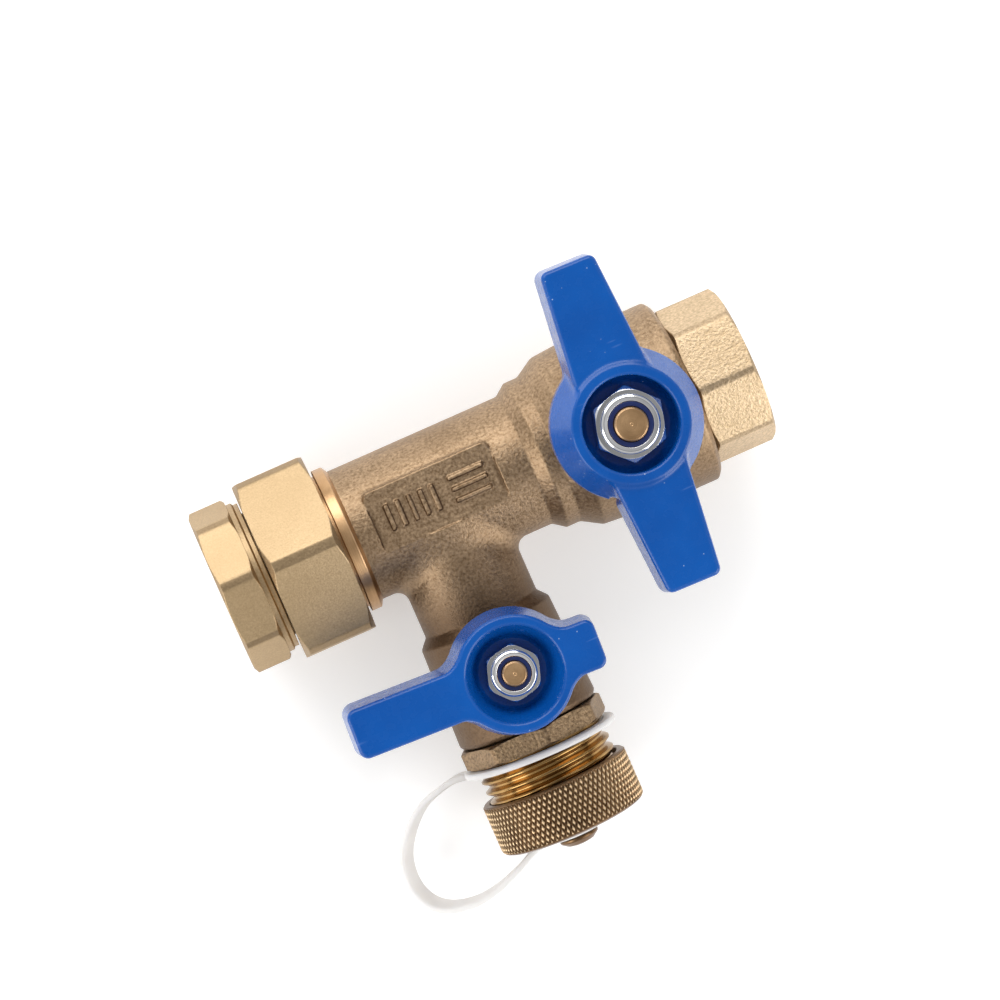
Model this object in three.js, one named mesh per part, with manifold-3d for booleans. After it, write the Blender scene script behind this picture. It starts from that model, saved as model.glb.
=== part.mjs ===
// Brass isolation valve with a union end, a quarter-turn ball valve on the run and a drain ball
// valve on the branch. Millimetres. The valve lies on its back: the run is along X, the drain
// branch points along -Y, and both valve stems stand along +Z.

import * as THREE from "three";
import { ConvexGeometry } from "three/addons/geometries/ConvexGeometry.js";
import { mergeVertices } from "three/addons/utils/BufferGeometryUtils.js";
import Module from "manifold-3d";

const wasm = await Module();
wasm.setup();

// ---------------------------------------------------------------- driving dimensions

const GAP = 0.3; // between parts that touch
const SIDES = 32; // of a large turned surface
const SMALL_SIDES = 20; // of a small turned surface
const PAST = 1; // how far a cutter runs past a face
const BALL_SIDES = 24;
const BALL_RINGS = 14;

// The run, along X, measured from the branch's axis.
const TAILPIECE_END = -44.9;
const NUT_FROM = -34.7;
const NUT_TO = -20;
const BODY_FROM = -28.3;
const BODY_TO = 54.3;
const FITTING_END = 67.1;
const RUN_BORE_R = 9;
const RUN_TUBE_R = 13.6;
const UNION_THREAD_R = 14.6;
const NUT_FLATS = 36;
const TAILPIECE_FLATS = 31.8;
const FITTING_FLATS = 30.4;
const PANEL = { length: 26.3, width: 12.3, x: 0.5, y: 1.2, level: 12.7 }; // flat on the tube
const SOCKET_MOUTH_R = 12.6;
const SOCKET_ROOT_R = 11.7;

// The drain branch, along -Y, measured from the run's axis.
const BRANCH_TUBE_R = 11.85;
const BRANCH_BORE_R = 6.5;
const BRANCH_TO = 47.3;
const OUTLET_FLATS = 28.1;
const OUTLET_HEAD_TO = 51.6;
const OUTLET_TO = 66.4;
const HOSE_THREAD_R = 13.2;
const CAP_FROM = 59.2;
const CAP_TO = 69.8;
const CAP_R = 15.15;
const STUD_TO = 73.5;
const STUD_HEAD = { from: 66.8, to: 67.6, r: 3.3, shankR: 1.9, buttonR: 4, tipR: 2 };
const CAP_WASHER = { from: 66.6, to: 67.6, innerR: 3.7, outerR: 13.2 };

// The two ball valves: the same stack of parts in two sizes. Heights are above the pipe axis.
const MAIN = {
  name: "main",
  ballR: 13.5,
  portR: 8.5,
  cavityR: 14.9,
  pocketR: 13,
  seatLength: 4.9,
  seatOffset: 6.6,
  shoulderR: 6,
  stemR: 4,
  threadR: 3.9,
  bossR: 8.8,
  bossTop: 22.5,
  packingR: 6,
  packingFrom: 18.7,
  packingTo: 20.4,
  glandFlats: 14,
  glandTop: 25.6,
  plateFrom: 26.2,
  plateTo: 29,
  nutFlats: 13,
  nutTop: 33.6,
  collarR: 5.6,
  collarTop: 35.2,
  stemTop: 36,
  stopR: 11.4,
  stopAngle: 0,
  stopFrom: 17,
};
const DRAIN = {
  name: "drain",
  ballR: 9.6,
  portR: 6.2,
  cavityR: 11,
  pocketR: 9.2,
  seatLength: 3.8,
  seatOffset: 4.8,
  shoulderR: 4.6,
  stemR: 3,
  threadR: 2.9,
  bossR: 7,
  bossTop: 15.6,
  packingR: 4.6,
  packingFrom: 13.2,
  packingTo: 14.2,
  glandFlats: 11,
  glandTop: 17.6,
  plateFrom: 18.2,
  plateTo: 20,
  nutFlats: 10,
  nutTop: 23.6,
  collarR: 4.5,
  collarTop: 25.2,
  stemTop: 26,
  stopR: 9,
  stopAngle: -90,
  stopFrom: 12,
};
const MAIN_STEM_X = 38.5;
const DRAIN_STEM_B = 35;
const SHOULDER_THICK = 1.2;
const WASHER_THICK = 0.7;
const STOP_THICK = 3;
const QUARTER = 90;

// Main handle: a hub with a raised rim, and two tapering wings.
const WING = { reach: 32.5, tipHalf: 5.55, hubHalf: 8.2, from: 25, to: 35.3, draft: 0.5 };
const MAIN_HUB = { r: 14.7, rimR: 11.5, skirtTo: 28.7, top: 36, recessR: 9.25, hollowR: 9 };
const MAIN_SET_DEG = -1.5; // how far past square the closed handle stands

// Drain handle: a hub with a conical cup, one long arm and one short arm.
const LEVER = { long: 32.9, short: 17.3, half: 4.9, from: 17, to: 27.5, draft: 0.6 };
const DRAIN_HUB = { r: 12.5, rimR: 11.4, cupR: 9.5, cupRootR: 7, hollowR: 7.2 };
const DRAIN_SET_DEG = -2.8;

// The cap's strap: a flat moulded band, a ring round the outlet's neck and an eyelet on the stud.
const STRAP_WIDTH = 5;
const STRAP_THICK = 1.3;
const STRAP_TILT_DEG = 22; // the band hangs this far below level
const NECK_RING = { from: 52, to: 53.4, innerR: 13.2, outerR: 15.9 };
const EYELET = { from: 70.1, to: 71.4, innerR: 2.2, outerR: 5.4 };
// [distance from the branch's axis, distance along the branch] down the middle of the band
const STRAP_ROUTE = [
  [16.2, 52.9],
  [18.6, 52.7],
  [21.8, 53.3],
  [27, 55],
  [31.3, 58.3],
  [34.7, 62.7],
  [36, 66.9],
  [35.7, 71],
  [33.7, 74.4],
  [30.2, 76.4],
  [25.3, 77],
  [20, 76.1],
  [14.8, 74.2],
  [10.5, 72.1],
  [8.2, 71.2],
  [5.75, 70.8],
];

// ---------------------------------------------------------------- materials

const metal = (color, roughness) =>
  new THREE.MeshStandardMaterial({ color, roughness, metalness: 1 });
const plastic = (color, roughness) =>
  new THREE.MeshStandardMaterial({ color, roughness, metalness: 0 });
const castBrass = () => metal(0xae8a5c, 0.6);
const machinedBrass = () => metal(0xd9b36c, 0.35);
const darkBrass = () => metal(0x7d5f3f, 0.5);
const steel = () => metal(0xc8cacc, 0.2);
const bluePaint = () => plastic(0x1458b8, 0.25);
const ptfe = () => plastic(0xf2f2ee, 0.5);
const strapPlastic = () => plastic(0xf4f1ea, 0.45);
const rubber = () => plastic(0x202020, 0.8);
const nylon = () => plastic(0x3a5a9a, 0.4);

// ---------------------------------------------------------------- solids

function solidOf(geometry) {
  const bare = new THREE.BufferGeometry();
  const plain = geometry.index ? geometry.toNonIndexed() : geometry;
  bare.setAttribute("position", plain.getAttribute("position"));
  const merged = mergeVertices(bare, 1e-4);
  const corners = merged.index.array;
  const kept = [];
  for (let i = 0; i < corners.length; i += 3) {
    const [a, b, c] = [corners[i], corners[i + 1], corners[i + 2]];
    if (a !== b && b !== c && c !== a) kept.push(a, b, c);
  }
  const build = (triVerts) =>
    new wasm.Manifold(
      new wasm.Mesh({
        numProp: 3,
        vertProperties: merged.attributes.position.array,
        triVerts: new Uint32Array(triVerts),
      }),
    );
  const made = build(kept);
  return made.volume() < 0 ? build(kept.reverse()) : made;
}

function geometryOf(solid) {
  const mesh = solid.getMesh();
  const geometry = new THREE.BufferGeometry();
  geometry.setAttribute("position", new THREE.BufferAttribute(mesh.vertProperties, 3));
  geometry.setIndex(new THREE.BufferAttribute(mesh.triVerts, 1));
  const flat = geometry.toNonIndexed();
  flat.computeVertexNormals();
  return flat;
}

const join = (...solids) => solids.reduce((a, b) => a.add(b));
const cut = (solid, ...cutters) => cutters.reduce((a, b) => a.subtract(b), solid);

// A solid of revolution about local +Z from points [height, radius]. It closes to the axis.
function turned(profile, sides = SIDES) {
  const first = profile[0];
  const last = profile[profile.length - 1];
  const points = [[first[0], 0], ...profile, [last[0], 0]];
  const outline = points.map(([height, radius]) => new THREE.Vector2(radius, height));
  return solidOf(new THREE.LatheGeometry(outline, sides).rotateX(Math.PI / 2));
}

const rod = (radius, from, to, sides = SIDES) =>
  turned(
    [
      [from, radius],
      [to, radius],
    ],
    sides,
  );

const ring = (innerR, outerR, from, to, sides = SIDES) =>
  cut(rod(outerR, from, to, sides), rod(innerR, from - PAST, to + PAST, sides));

// A prism of regular outline about local +Z. turnDeg turns its first corner from local +X.
function prism(sides, flats, from, to, turnDeg = 0) {
  const radius = flats / 2 / Math.cos(Math.PI / sides);
  const outline = new THREE.Shape();
  for (let i = 0; i < sides; i++) {
    const angle = (i / sides) * 2 * Math.PI + THREE.MathUtils.degToRad(turnDeg);
    const [x, y] = [radius * Math.cos(angle), radius * Math.sin(angle)];
    if (i === 0) outline.moveTo(x, y);
    else outline.lineTo(x, y);
  }
  const options = { depth: to - from, bevelEnabled: false };
  return solidOf(new THREE.ExtrudeGeometry(outline, options).translate(0, 0, from));
}

// The same prism with its corners turned off at cornerR and both ends chamfered.
function chamferedPrism(sides, flats, from, to, turnDeg, cornerR, chamfer = 0.9) {
  const slope = chamfer * 0.6;
  const limit = turned([
    [from, cornerR - chamfer],
    [from + slope, cornerR],
    [to - slope, cornerR],
    [to, cornerR - chamfer],
  ]);
  return prism(sides, flats, from, to, turnDeg).intersect(limit);
}

function box(size, centre) {
  return solidOf(new THREE.BoxGeometry(...size).translate(...centre));
}

const turnedAbout = (solid, x, y, z) => solid.rotate([x, y, z]);
const alongX = (solid) => turnedAbout(solid, 0, 90, 0);
const alongBranch = (solid) => turnedAbout(solid, 90, 0, 0);

// ---------------------------------------------------------------- scene graph

const valve = new THREE.Group();
const run = new THREE.Group(); // local +Z is the run's +X
const branch = new THREE.Group(); // local +Z points down the branch
const mainStemLine = new THREE.Group();
const drainStemLine = new THREE.Group();
run.rotation.y = Math.PI / 2;
branch.rotation.x = Math.PI / 2;
mainStemLine.position.x = MAIN_STEM_X;
drainStemLine.position.y = -DRAIN_STEM_B;
valve.add(run, branch, mainStemLine, drainStemLine);

function place(group, name, solid, material) {
  const mesh = new THREE.Mesh(geometryOf(solid), material);
  mesh.name = name;
  group.add(mesh);
  return mesh;
}

// ---------------------------------------------------------------- valve body

function stemBores(valveSize) {
  const { shoulderR, stemR, packingR, packingFrom, bossTop } = valveSize;
  const pocketTop = washerTop(valveSize) + 0.2;
  return join(
    rod(shoulderR + GAP, 0, pocketTop, SMALL_SIDES),
    rod(stemR + GAP, 0, bossTop + PAST, SMALL_SIDES),
    rod(packingR + GAP, packingFrom - GAP, bossTop + PAST, SMALL_SIDES),
  );
}

const shoulderFrom = ({ ballR }) => ballR + GAP;
const washerTop = (valveSize) =>
  shoulderFrom(valveSize) + SHOULDER_THICK + 0.2 + WASHER_THICK;

// The lug on the body that stops the handle a quarter turn apart.
function stopLug({ stopR, stopAngle, stopFrom, plateFrom }) {
  const to = plateFrom - GAP;
  const height = to - stopFrom;
  const lug = box([STOP_THICK, STOP_THICK, height], [stopR, 0, stopFrom + height / 2]);
  return lug.rotate([0, 0, stopAngle]);
}

function valveBody() {
  const runOutside = turned([
    [BODY_FROM, UNION_THREAD_R - 0.7],
    [BODY_FROM + 0.7, UNION_THREAD_R],
    [-20.8, UNION_THREAD_R],
    [-20.4, 13.9],
    [-19.3, 13.9],
    [-19.3, 14.8],
    [-17.2, 14.8],
    [-16.4, RUN_TUBE_R],
    [19.8, RUN_TUBE_R],
    [22.2, 15.4],
    [25.1, 15.4],
    [29.1, 17.8],
    [34, 18.2],
    [44, 18.85],
    [BODY_TO - 1.1, 18.85],
    [BODY_TO, 16.8],
  ]);
  const branchOutside = turned([
    [0, BRANCH_TUBE_R],
    [24.1, BRANCH_TUBE_R],
    [26.1, 13.6],
    [BRANCH_TO - 0.8, 14.4],
    [BRANCH_TO, 14.1],
  ]);
  const seatBack = MAIN_STEM_X - MAIN.seatOffset - MAIN.seatLength - GAP;
  const runInside = join(
    rod(RUN_BORE_R, BODY_FROM - PAST, seatBack + PAST),
    rod(MAIN.pocketR, seatBack, BODY_TO),
    rod(MAIN.cavityR, MAIN_STEM_X - MAIN.seatOffset, BODY_TO + PAST),
  );
  const drainSeatBack = DRAIN_STEM_B - DRAIN.seatOffset - DRAIN.seatLength - GAP;
  const branchInside = join(
    rod(BRANCH_BORE_R, 0, drainSeatBack + PAST, SMALL_SIDES),
    rod(DRAIN.pocketR, drainSeatBack, BRANCH_TO, SMALL_SIDES),
    rod(DRAIN.cavityR, DRAIN_STEM_B - DRAIN.seatOffset, BRANCH_TO + PAST),
  );
  const { length, width, x, y, level } = PANEL;
  const markingPanel = box([length, width, 4], [x, y, level + 2]);
  const mainTop = join(
    rod(MAIN.bossR, RUN_TUBE_R, MAIN.bossTop),
    stopLug(MAIN),
  ).translate([MAIN_STEM_X, 0, 0]);
  const drainTop = join(
    rod(DRAIN.bossR, BRANCH_TUBE_R, DRAIN.bossTop),
    stopLug(DRAIN),
  ).translate([0, -DRAIN_STEM_B, 0]);
  const outside = join(alongX(runOutside), alongBranch(branchOutside), mainTop, drainTop);
  return cut(
    outside,
    alongX(runInside),
    alongBranch(branchInside),
    stemBores(MAIN).translate([MAIN_STEM_X, 0, 0]),
    stemBores(DRAIN).translate([0, -DRAIN_STEM_B, 0]),
    markingPanel,
  );
}

// ---------------------------------------------------------------- end fittings on the run

// A female pipe socket, tapered as a pipe thread is, open at its mouth.
function pipeSocket(mouth, root) {
  const out = Math.sign(mouth - root) * PAST;
  const points = [
    [root, SOCKET_ROOT_R],
    [mouth - out, SOCKET_MOUTH_R],
    [mouth, SOCKET_MOUTH_R + 0.9],
    [mouth + out, SOCKET_MOUTH_R + 0.9],
  ];
  return turned(mouth > root ? points : points.reverse());
}

function runEndFitting() {
  const headFrom = BODY_TO + GAP;
  const seatFrom = MAIN_STEM_X + MAIN.seatOffset;
  const spigotFrom = seatFrom + 0.9;
  const seatBack = seatFrom + MAIN.seatLength + GAP;
  const outside = join(
    rod(MAIN.cavityR - GAP, spigotFrom, headFrom + PAST),
    chamferedPrism(8, FITTING_FLATS, headFrom, FITTING_END, 3.3, 16.2),
  );
  return cut(
    outside,
    rod(MAIN.pocketR, spigotFrom - PAST, seatBack),
    rod(MAIN.portR + GAP, spigotFrom - PAST, FITTING_END),
    pipeSocket(FITTING_END, headFrom),
  );
}

const RING_GROOVE = { from: -32.6, to: -31.3, r: 12.1 };
const SPIGOT_R = 12.9;
const GASKET = { from: -30.2, to: BODY_FROM - GAP, innerR: 9.2, outerR: 13.2 };

function unionTailpiece() {
  const headTo = -37.2;
  const neckTo = NUT_FROM - GAP;
  const spigotTo = GASKET.from - GAP;
  const outside = join(
    chamferedPrism(8, TAILPIECE_FLATS, TAILPIECE_END, headTo, -7, 16.9),
    turned([
      [headTo - PAST, 15.6],
      [headTo + 1, 15.6],
      [headTo + 1.3, 15.1],
      [neckTo, 15.1],
      [neckTo, SPIGOT_R],
      [RING_GROOVE.from, SPIGOT_R],
      [RING_GROOVE.from, RING_GROOVE.r],
      [RING_GROOVE.to, RING_GROOVE.r],
      [RING_GROOVE.to, SPIGOT_R],
      [spigotTo, SPIGOT_R],
    ]),
  );
  return cut(
    outside,
    rod(RUN_BORE_R, TAILPIECE_END, spigotTo + PAST),
    pipeSocket(TAILPIECE_END, -33.6),
  );
}

function unionNut() {
  const lipTo = -32.8;
  return cut(
    chamferedPrism(6, NUT_FLATS, NUT_FROM, NUT_TO, -5.2, 20.2, 1.4),
    rod(SPIGOT_R + GAP, NUT_FROM - PAST, NUT_TO),
    rod(UNION_THREAD_R + 0.35, lipTo, NUT_TO + PAST),
  );
}

function retainingRing() {
  const { from, to, r } = RING_GROOVE;
  const whole = ring(r + 0.2, r + 1.8, from + 0.2, to - 0.2);
  return cut(whole, box([4, 3, 4], [-r - 1, 0, (from + to) / 2]));
}

place(valve, "valve_body", valveBody(), castBrass());
place(run, "run_end_fitting", runEndFitting(), castBrass());
place(run, "union_tailpiece", unionTailpiece(), machinedBrass());
place(run, "union_nut", unionNut(), machinedBrass());
place(run, "union_retaining_ring", retainingRing(), steel());
const { from: gasketFrom, to: gasketTo, innerR: gasketIn, outerR: gasketOut } = GASKET;
place(run, "union_gasket", ring(gasketIn, gasketOut, gasketFrom, gasketTo), rubber());

// ---------------------------------------------------------------- ball, seats, stem, gland, lock nut

// The ball with its port across the pipe, as it stands when the valve is closed.
function ball({ ballR, portR, stemR }, portAlongX) {
  const sphere = solidOf(new THREE.SphereGeometry(ballR, BALL_SIDES, BALL_RINGS));
  const port = rod(portR, -ballR - PAST, ballR + PAST, SIDES);
  const slot = box([stemR * 0.95, ballR * 2, ballR * 0.4], [0, 0, ballR]);
  const turnedSlot = portAlongX ? slot.rotate([0, 0, QUARTER]) : slot;
  const across = portAlongX ? alongX(port) : alongBranch(port);
  return cut(sphere, across, turnedSlot);
}

// A seat ring along local +Z: side is 1 beyond the ball and -1 before it.
function seat({ ballR, portR, pocketR, seatLength, seatOffset }, centre, side) {
  const near = centre + side * seatOffset;
  const far = near + side * seatLength;
  const blank = ring(portR + 0.3, pocketR - GAP, Math.min(near, far), Math.max(near, far));
  const clearBall = solidOf(new THREE.SphereGeometry(ballR + GAP, BALL_SIDES, BALL_RINGS));
  return cut(blank, clearBall.translate([0, 0, centre]));
}

function stem(valveSize, portAlongX) {
  const { ballR, shoulderR, stemR, threadR, plateFrom, plateTo, stemTop } = valveSize;
  const from = shoulderFrom(valveSize);
  const tangFrom = ballR * 0.8 + GAP;
  const tangHeight = from + PAST - tangFrom;
  const tang = box(
    [stemR * 0.8, stemR * 2.2, tangHeight],
    [0, 0, tangFrom + tangHeight / 2],
  );
  const shaft = turned(
    [
      [from, shoulderR],
      [from + SHOULDER_THICK, shoulderR],
      [from + SHOULDER_THICK, stemR],
      [plateTo + 0.1, stemR],
      [plateTo + 0.1, threadR],
      [stemTop - 0.6, threadR],
      [stemTop, threadR - 0.7],
    ],
    SMALL_SIDES,
  );
  const flatAt = stemR * 0.74;
  const flat = box([stemR, stemR * 4, stemTop - plateFrom], [0, 0, 0]);
  const flats = [-1, 1].map((side) =>
    flat.translate([side * (flatAt + stemR / 2), 0, (plateTo + plateFrom) / 2]),
  );
  const whole = join(portAlongX ? tang.rotate([0, 0, QUARTER]) : tang, shaft);
  const flatZone = rod(stemR + PAST, plateFrom - GAP, plateTo + 0.1, SMALL_SIDES);
  return cut(whole, ...flats.map((f) => f.intersect(flatZone)));
}

// The opening in the handle's plate that fits over the stem's flats.
function stemHole({ stemR, plateFrom, plateTo }) {
  const round = rod(stemR + GAP, plateFrom - PAST, plateTo + PAST, SMALL_SIDES);
  const width = 2 * (stemR * 0.74 + GAP);
  const height = plateTo - plateFrom + 4;
  return round.intersect(box([width, 4 * stemR, height], [0, 0, (plateFrom + plateTo) / 2]));
}

function packingNut({ glandFlats, glandTop, bossTop, packingR, packingTo, stemR }) {
  const headFrom = bossTop + GAP;
  return cut(
    join(
      chamferedPrism(6, glandFlats, headFrom, glandTop, 0, glandFlats * 0.56, 0.5),
      rod(packingR, packingTo + GAP, headFrom + 0.5, SMALL_SIDES),
    ),
    rod(stemR + GAP, 0, glandTop + PAST, SMALL_SIDES),
  );
}

function lockNut({ nutFlats, plateTo, nutTop, collarR, collarTop, threadR }, turnDeg) {
  const insertR = collarR - 0.7;
  return cut(
    join(
      chamferedPrism(6, nutFlats, plateTo + GAP, nutTop, turnDeg, nutFlats * 0.57, 0.6),
      rod(collarR, nutTop - 0.5, collarTop, SMALL_SIDES),
    ),
    rod(threadR + 0.2, plateTo, collarTop + PAST, SMALL_SIDES),
    rod(insertR, nutTop, collarTop + PAST, SMALL_SIDES),
  );
}

function nutInsert({ threadR, collarR, nutTop, collarTop }) {
  return ring(threadR + 0.1, collarR - 0.9, nutTop + 0.2, collarTop - 0.3, SMALL_SIDES);
}

function addValveTrim(valveSize, pipeLine, centre, stemLine, portAlongX, nutTurnDeg) {
  const { name, stemR, packingR, packingFrom, packingTo, shoulderR } = valveSize;
  const washerTo = washerTop(valveSize);
  const inStack = (part, solid, material) =>
    place(stemLine, `${name}_${part}`, solid, material);
  place(pipeLine, `${name}_seat_inner`, seat(valveSize, centre, -1), ptfe());
  place(pipeLine, `${name}_seat_outer`, seat(valveSize, centre, 1), ptfe());
  inStack("ball", ball(valveSize, portAlongX), steel());
  inStack("stem", stem(valveSize, portAlongX), machinedBrass());
  inStack(
    "thrust_washer",
    ring(stemR + 0.2, shoulderR, washerTo - WASHER_THICK, washerTo, SMALL_SIDES),
    ptfe(),
  );
  inStack(
    "stem_packing",
    ring(stemR + 0.2, packingR, packingFrom, packingTo, SMALL_SIDES),
    ptfe(),
  );
  inStack("packing_nut", packingNut(valveSize), machinedBrass());
  inStack("handle_nut", lockNut(valveSize, nutTurnDeg), steel());
  inStack("nut_insert", nutInsert(valveSize), nylon());
}

addValveTrim(MAIN, run, MAIN_STEM_X, mainStemLine, false, 15);
addValveTrim(DRAIN, branch, DRAIN_STEM_B, drainStemLine, true, 12);

// ---------------------------------------------------------------- handles

// The slot under a handle's hub that its stop lug runs in, open at the rim.
function stopSlot({ stopR, stopAngle, plateFrom }, hubFrom, hollowR, hubR, setDeg) {
  const side = Math.asin((STOP_THICK / 2 + 0.5) / stopR);
  const from = THREE.MathUtils.degToRad(stopAngle - QUARTER) - side;
  const to = THREE.MathUtils.degToRad(stopAngle - setDeg) + side;
  const outerR = hubR + PAST;
  const sector = new THREE.Shape();
  sector.absarc(0, 0, outerR, from, to, false);
  sector.absarc(0, 0, hollowR - 0.5, to, from, true);
  const depth = plateFrom + 0.4 - (hubFrom - PAST);
  const options = { depth, bevelEnabled: false, curveSegments: 10 };
  return solidOf(new THREE.ExtrudeGeometry(sector, options).translate(0, 0, hubFrom - PAST));
}

// A convex bar lofted through outlines, each { z, outline: [[x, y], ...] }.
function bar(layers) {
  const points = layers.flatMap(({ z, outline }) =>
    outline.map(([x, y]) => new THREE.Vector3(x, y, z)),
  );
  return solidOf(new ConvexGeometry(points));
}

// The plan of both wings, grown by `more` all round, with its tip corners cut at `round`.
function wingOutline(more, round = 1.1) {
  const { reach, tipHalf, hubHalf } = WING;
  const [length, tip, hub] = [reach + more, tipHalf + more, hubHalf + more];
  const quarter = [
    [hub, 0],
    [tip, length - round],
    [tip - round, length],
  ];
  const half = [...quarter, ...quarter.map(([x, y]) => [-x, y])];
  return [...half, ...half.map(([x, y]) => [x, -y])];
}

function mainHandle() {
  const { from, to, draft, reach, tipHalf, hubHalf } = WING;
  const { r, rimR, skirtTo, top, recessR, hollowR } = MAIN_HUB;
  const wings = bar([
    { z: from, outline: wingOutline(draft) },
    { z: to - 0.6, outline: wingOutline(0) },
    { z: to, outline: wingOutline(-0.6) },
  ]);
  const hub = turned([
    [from, r],
    [skirtTo, r],
    [top - 0.5, rimR],
    [top, rimR - 0.4],
  ]);
  const wall = 1.9;
  const pocketHalf = (tipHalf + hubHalf) / 2 - wall;
  const pocketIn = r + 1;
  const pocket = bar([
    {
      z: from - PAST,
      outline: [pocketIn, reach - wall].flatMap((y, i) => {
        const x = pocketHalf - 0.75 * i;
        return [
          [x, y],
          [-x, y],
        ];
      }),
    },
    {
      z: to - 3,
      outline: [pocketIn + 0.4, reach - wall - 0.5].flatMap((y, i) => {
        const x = pocketHalf - 0.5 - 0.75 * i;
        return [
          [x, y],
          [-x, y],
        ];
      }),
    },
  ]);
  const edgeNotch = box([2.2, 2.4, 10], [-r, 0, skirtTo]).rotate([0, 0, 58]);
  return cut(
    join(wings, cut(hub, edgeNotch)),
    rod(recessR, MAIN.plateTo, top + PAST),
    rod(hollowR, from - PAST, MAIN.plateFrom),
    stemHole(MAIN),
    pocket,
    pocket.rotate([0, 0, 180]),
    stopSlot(MAIN, from, hollowR, r, MAIN_SET_DEG),
  );
}

// The plan of the lever's two arms, grown by `more` all round.
function leverOutline(more, round = 1.6) {
  const half = LEVER.half + more;
  const ends = [-LEVER.long - more, LEVER.short + more];
  return ends.flatMap((x) => {
    const inner = x - Math.sign(x) * round;
    return [
      [x, half - round],
      [x, round - half],
      [inner, half],
      [inner, -half],
    ];
  });
}

function drainHandle() {
  const { from, to, draft, long, half } = LEVER;
  const { r, rimR, cupR, cupRootR, hollowR } = DRAIN_HUB;
  const arms = bar([
    { z: from, outline: leverOutline(draft) },
    { z: to - 0.5, outline: leverOutline(0) },
    { z: to, outline: leverOutline(-0.5) },
  ]);
  const hub = turned([
    [from, r],
    [to - 0.5, rimR],
    [to, rimR - 0.4],
  ]);
  const cup = turned([
    [DRAIN.plateTo, cupRootR],
    [to, cupR],
    [to + PAST, cupR],
  ]);
  const wall = 1.8;
  const pocket = bar(
    [
      [from - PAST, 0],
      [to - 3, -0.5],
    ].map(([z, more]) => ({
      z,
      outline: [-long + wall - more, -r - 1 + more].flatMap((x) => [
        [x, half - wall + more],
        [x, wall - half - more],
      ]),
    })),
  );
  return cut(
    join(arms, hub),
    cup,
    rod(hollowR, from - PAST, DRAIN.plateFrom),
    stemHole(DRAIN),
    pocket,
    stopSlot(DRAIN, from, hollowR, r, DRAIN_SET_DEG),
  );
}

const mainHandleMesh = place(mainStemLine, "main_handle", mainHandle(), bluePaint());
const drainHandleMesh = place(drainStemLine, "drain_handle", drainHandle(), bluePaint());
mainHandleMesh.rotation.z = THREE.MathUtils.degToRad(MAIN_SET_DEG);
drainHandleMesh.rotation.z = THREE.MathUtils.degToRad(DRAIN_SET_DEG);

// ---------------------------------------------------------------- hose outlet, cap and strap

function hoseOutlet() {
  const headFrom = BRANCH_TO + GAP;
  const seatFrom = DRAIN_STEM_B + DRAIN.seatOffset;
  const spigotFrom = seatFrom + 0.4;
  const seatBack = seatFrom + DRAIN.seatLength + GAP;
  const outside = join(
    rod(DRAIN.cavityR - GAP, spigotFrom, headFrom + PAST),
    chamferedPrism(8, OUTLET_FLATS, headFrom, OUTLET_HEAD_TO, 39, 15.1, 0.7),
    turned([
      [OUTLET_HEAD_TO - PAST, 12.9],
      [55.2, 12.9],
      [55.6, HOSE_THREAD_R],
      [OUTLET_TO - 0.8, HOSE_THREAD_R],
      [OUTLET_TO, HOSE_THREAD_R - 0.8],
    ]),
  );
  return cut(
    outside,
    rod(DRAIN.pocketR, spigotFrom - PAST, seatBack, SMALL_SIDES),
    rod(DRAIN.portR + GAP, spigotFrom - PAST, OUTLET_TO, SMALL_SIDES),
    rod(RUN_BORE_R, headFrom, OUTLET_TO + PAST, SMALL_SIDES),
  );
}

function hoseCap() {
  const inside = CAP_TO - 1.9;
  const outside = turned([
    [CAP_FROM, CAP_R - 0.7],
    [CAP_FROM + 0.7, CAP_R],
    [CAP_TO - 2.2, CAP_R],
    [CAP_TO - 0.7, CAP_R - 0.7],
    [CAP_TO, CAP_R - 2.2],
  ]);
  return cut(
    outside,
    rod(HOSE_THREAD_R + 0.4, CAP_FROM - PAST, inside),
    rod(2.2, CAP_FROM, CAP_TO + PAST, SMALL_SIDES),
  );
}

function capStud() {
  const { from, to, r, shankR, buttonR, tipR } = STUD_HEAD;
  const buttonFrom = EYELET.to + GAP;
  return turned(
    [
      [from, r],
      [to, r],
      [to, shankR],
      [buttonFrom, shankR],
      [buttonFrom, buttonR],
      [buttonFrom + 0.5, buttonR],
      [STUD_TO, tipR],
    ],
    SMALL_SIDES,
  );
}

// The band's outline in its own plane, offset both ways from its route.
function strapBand() {
  const route = new THREE.CatmullRomCurve3(
    STRAP_ROUTE.map(([out, down]) => new THREE.Vector3(out, down, 0)),
  );
  const steps = 40;
  const left = [];
  const right = [];
  for (let i = 0; i <= steps; i++) {
    const at = route.getPointAt(i / steps);
    const way = route.getTangentAt(i / steps);
    const across = new THREE.Vector2(-way.y, way.x).multiplyScalar(STRAP_THICK / 2);
    left.push(new THREE.Vector2(at.x + across.x, at.y + across.y));
    right.push(new THREE.Vector2(at.x - across.x, at.y - across.y));
  }
  const outline = new THREE.Shape([...left, ...right.reverse()]);
  const options = { depth: STRAP_WIDTH, bevelEnabled: false };
  const flat = new THREE.ExtrudeGeometry(outline, options).translate(0, 0, -STRAP_WIDTH / 2);
  return solidOf(flat);
}

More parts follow.
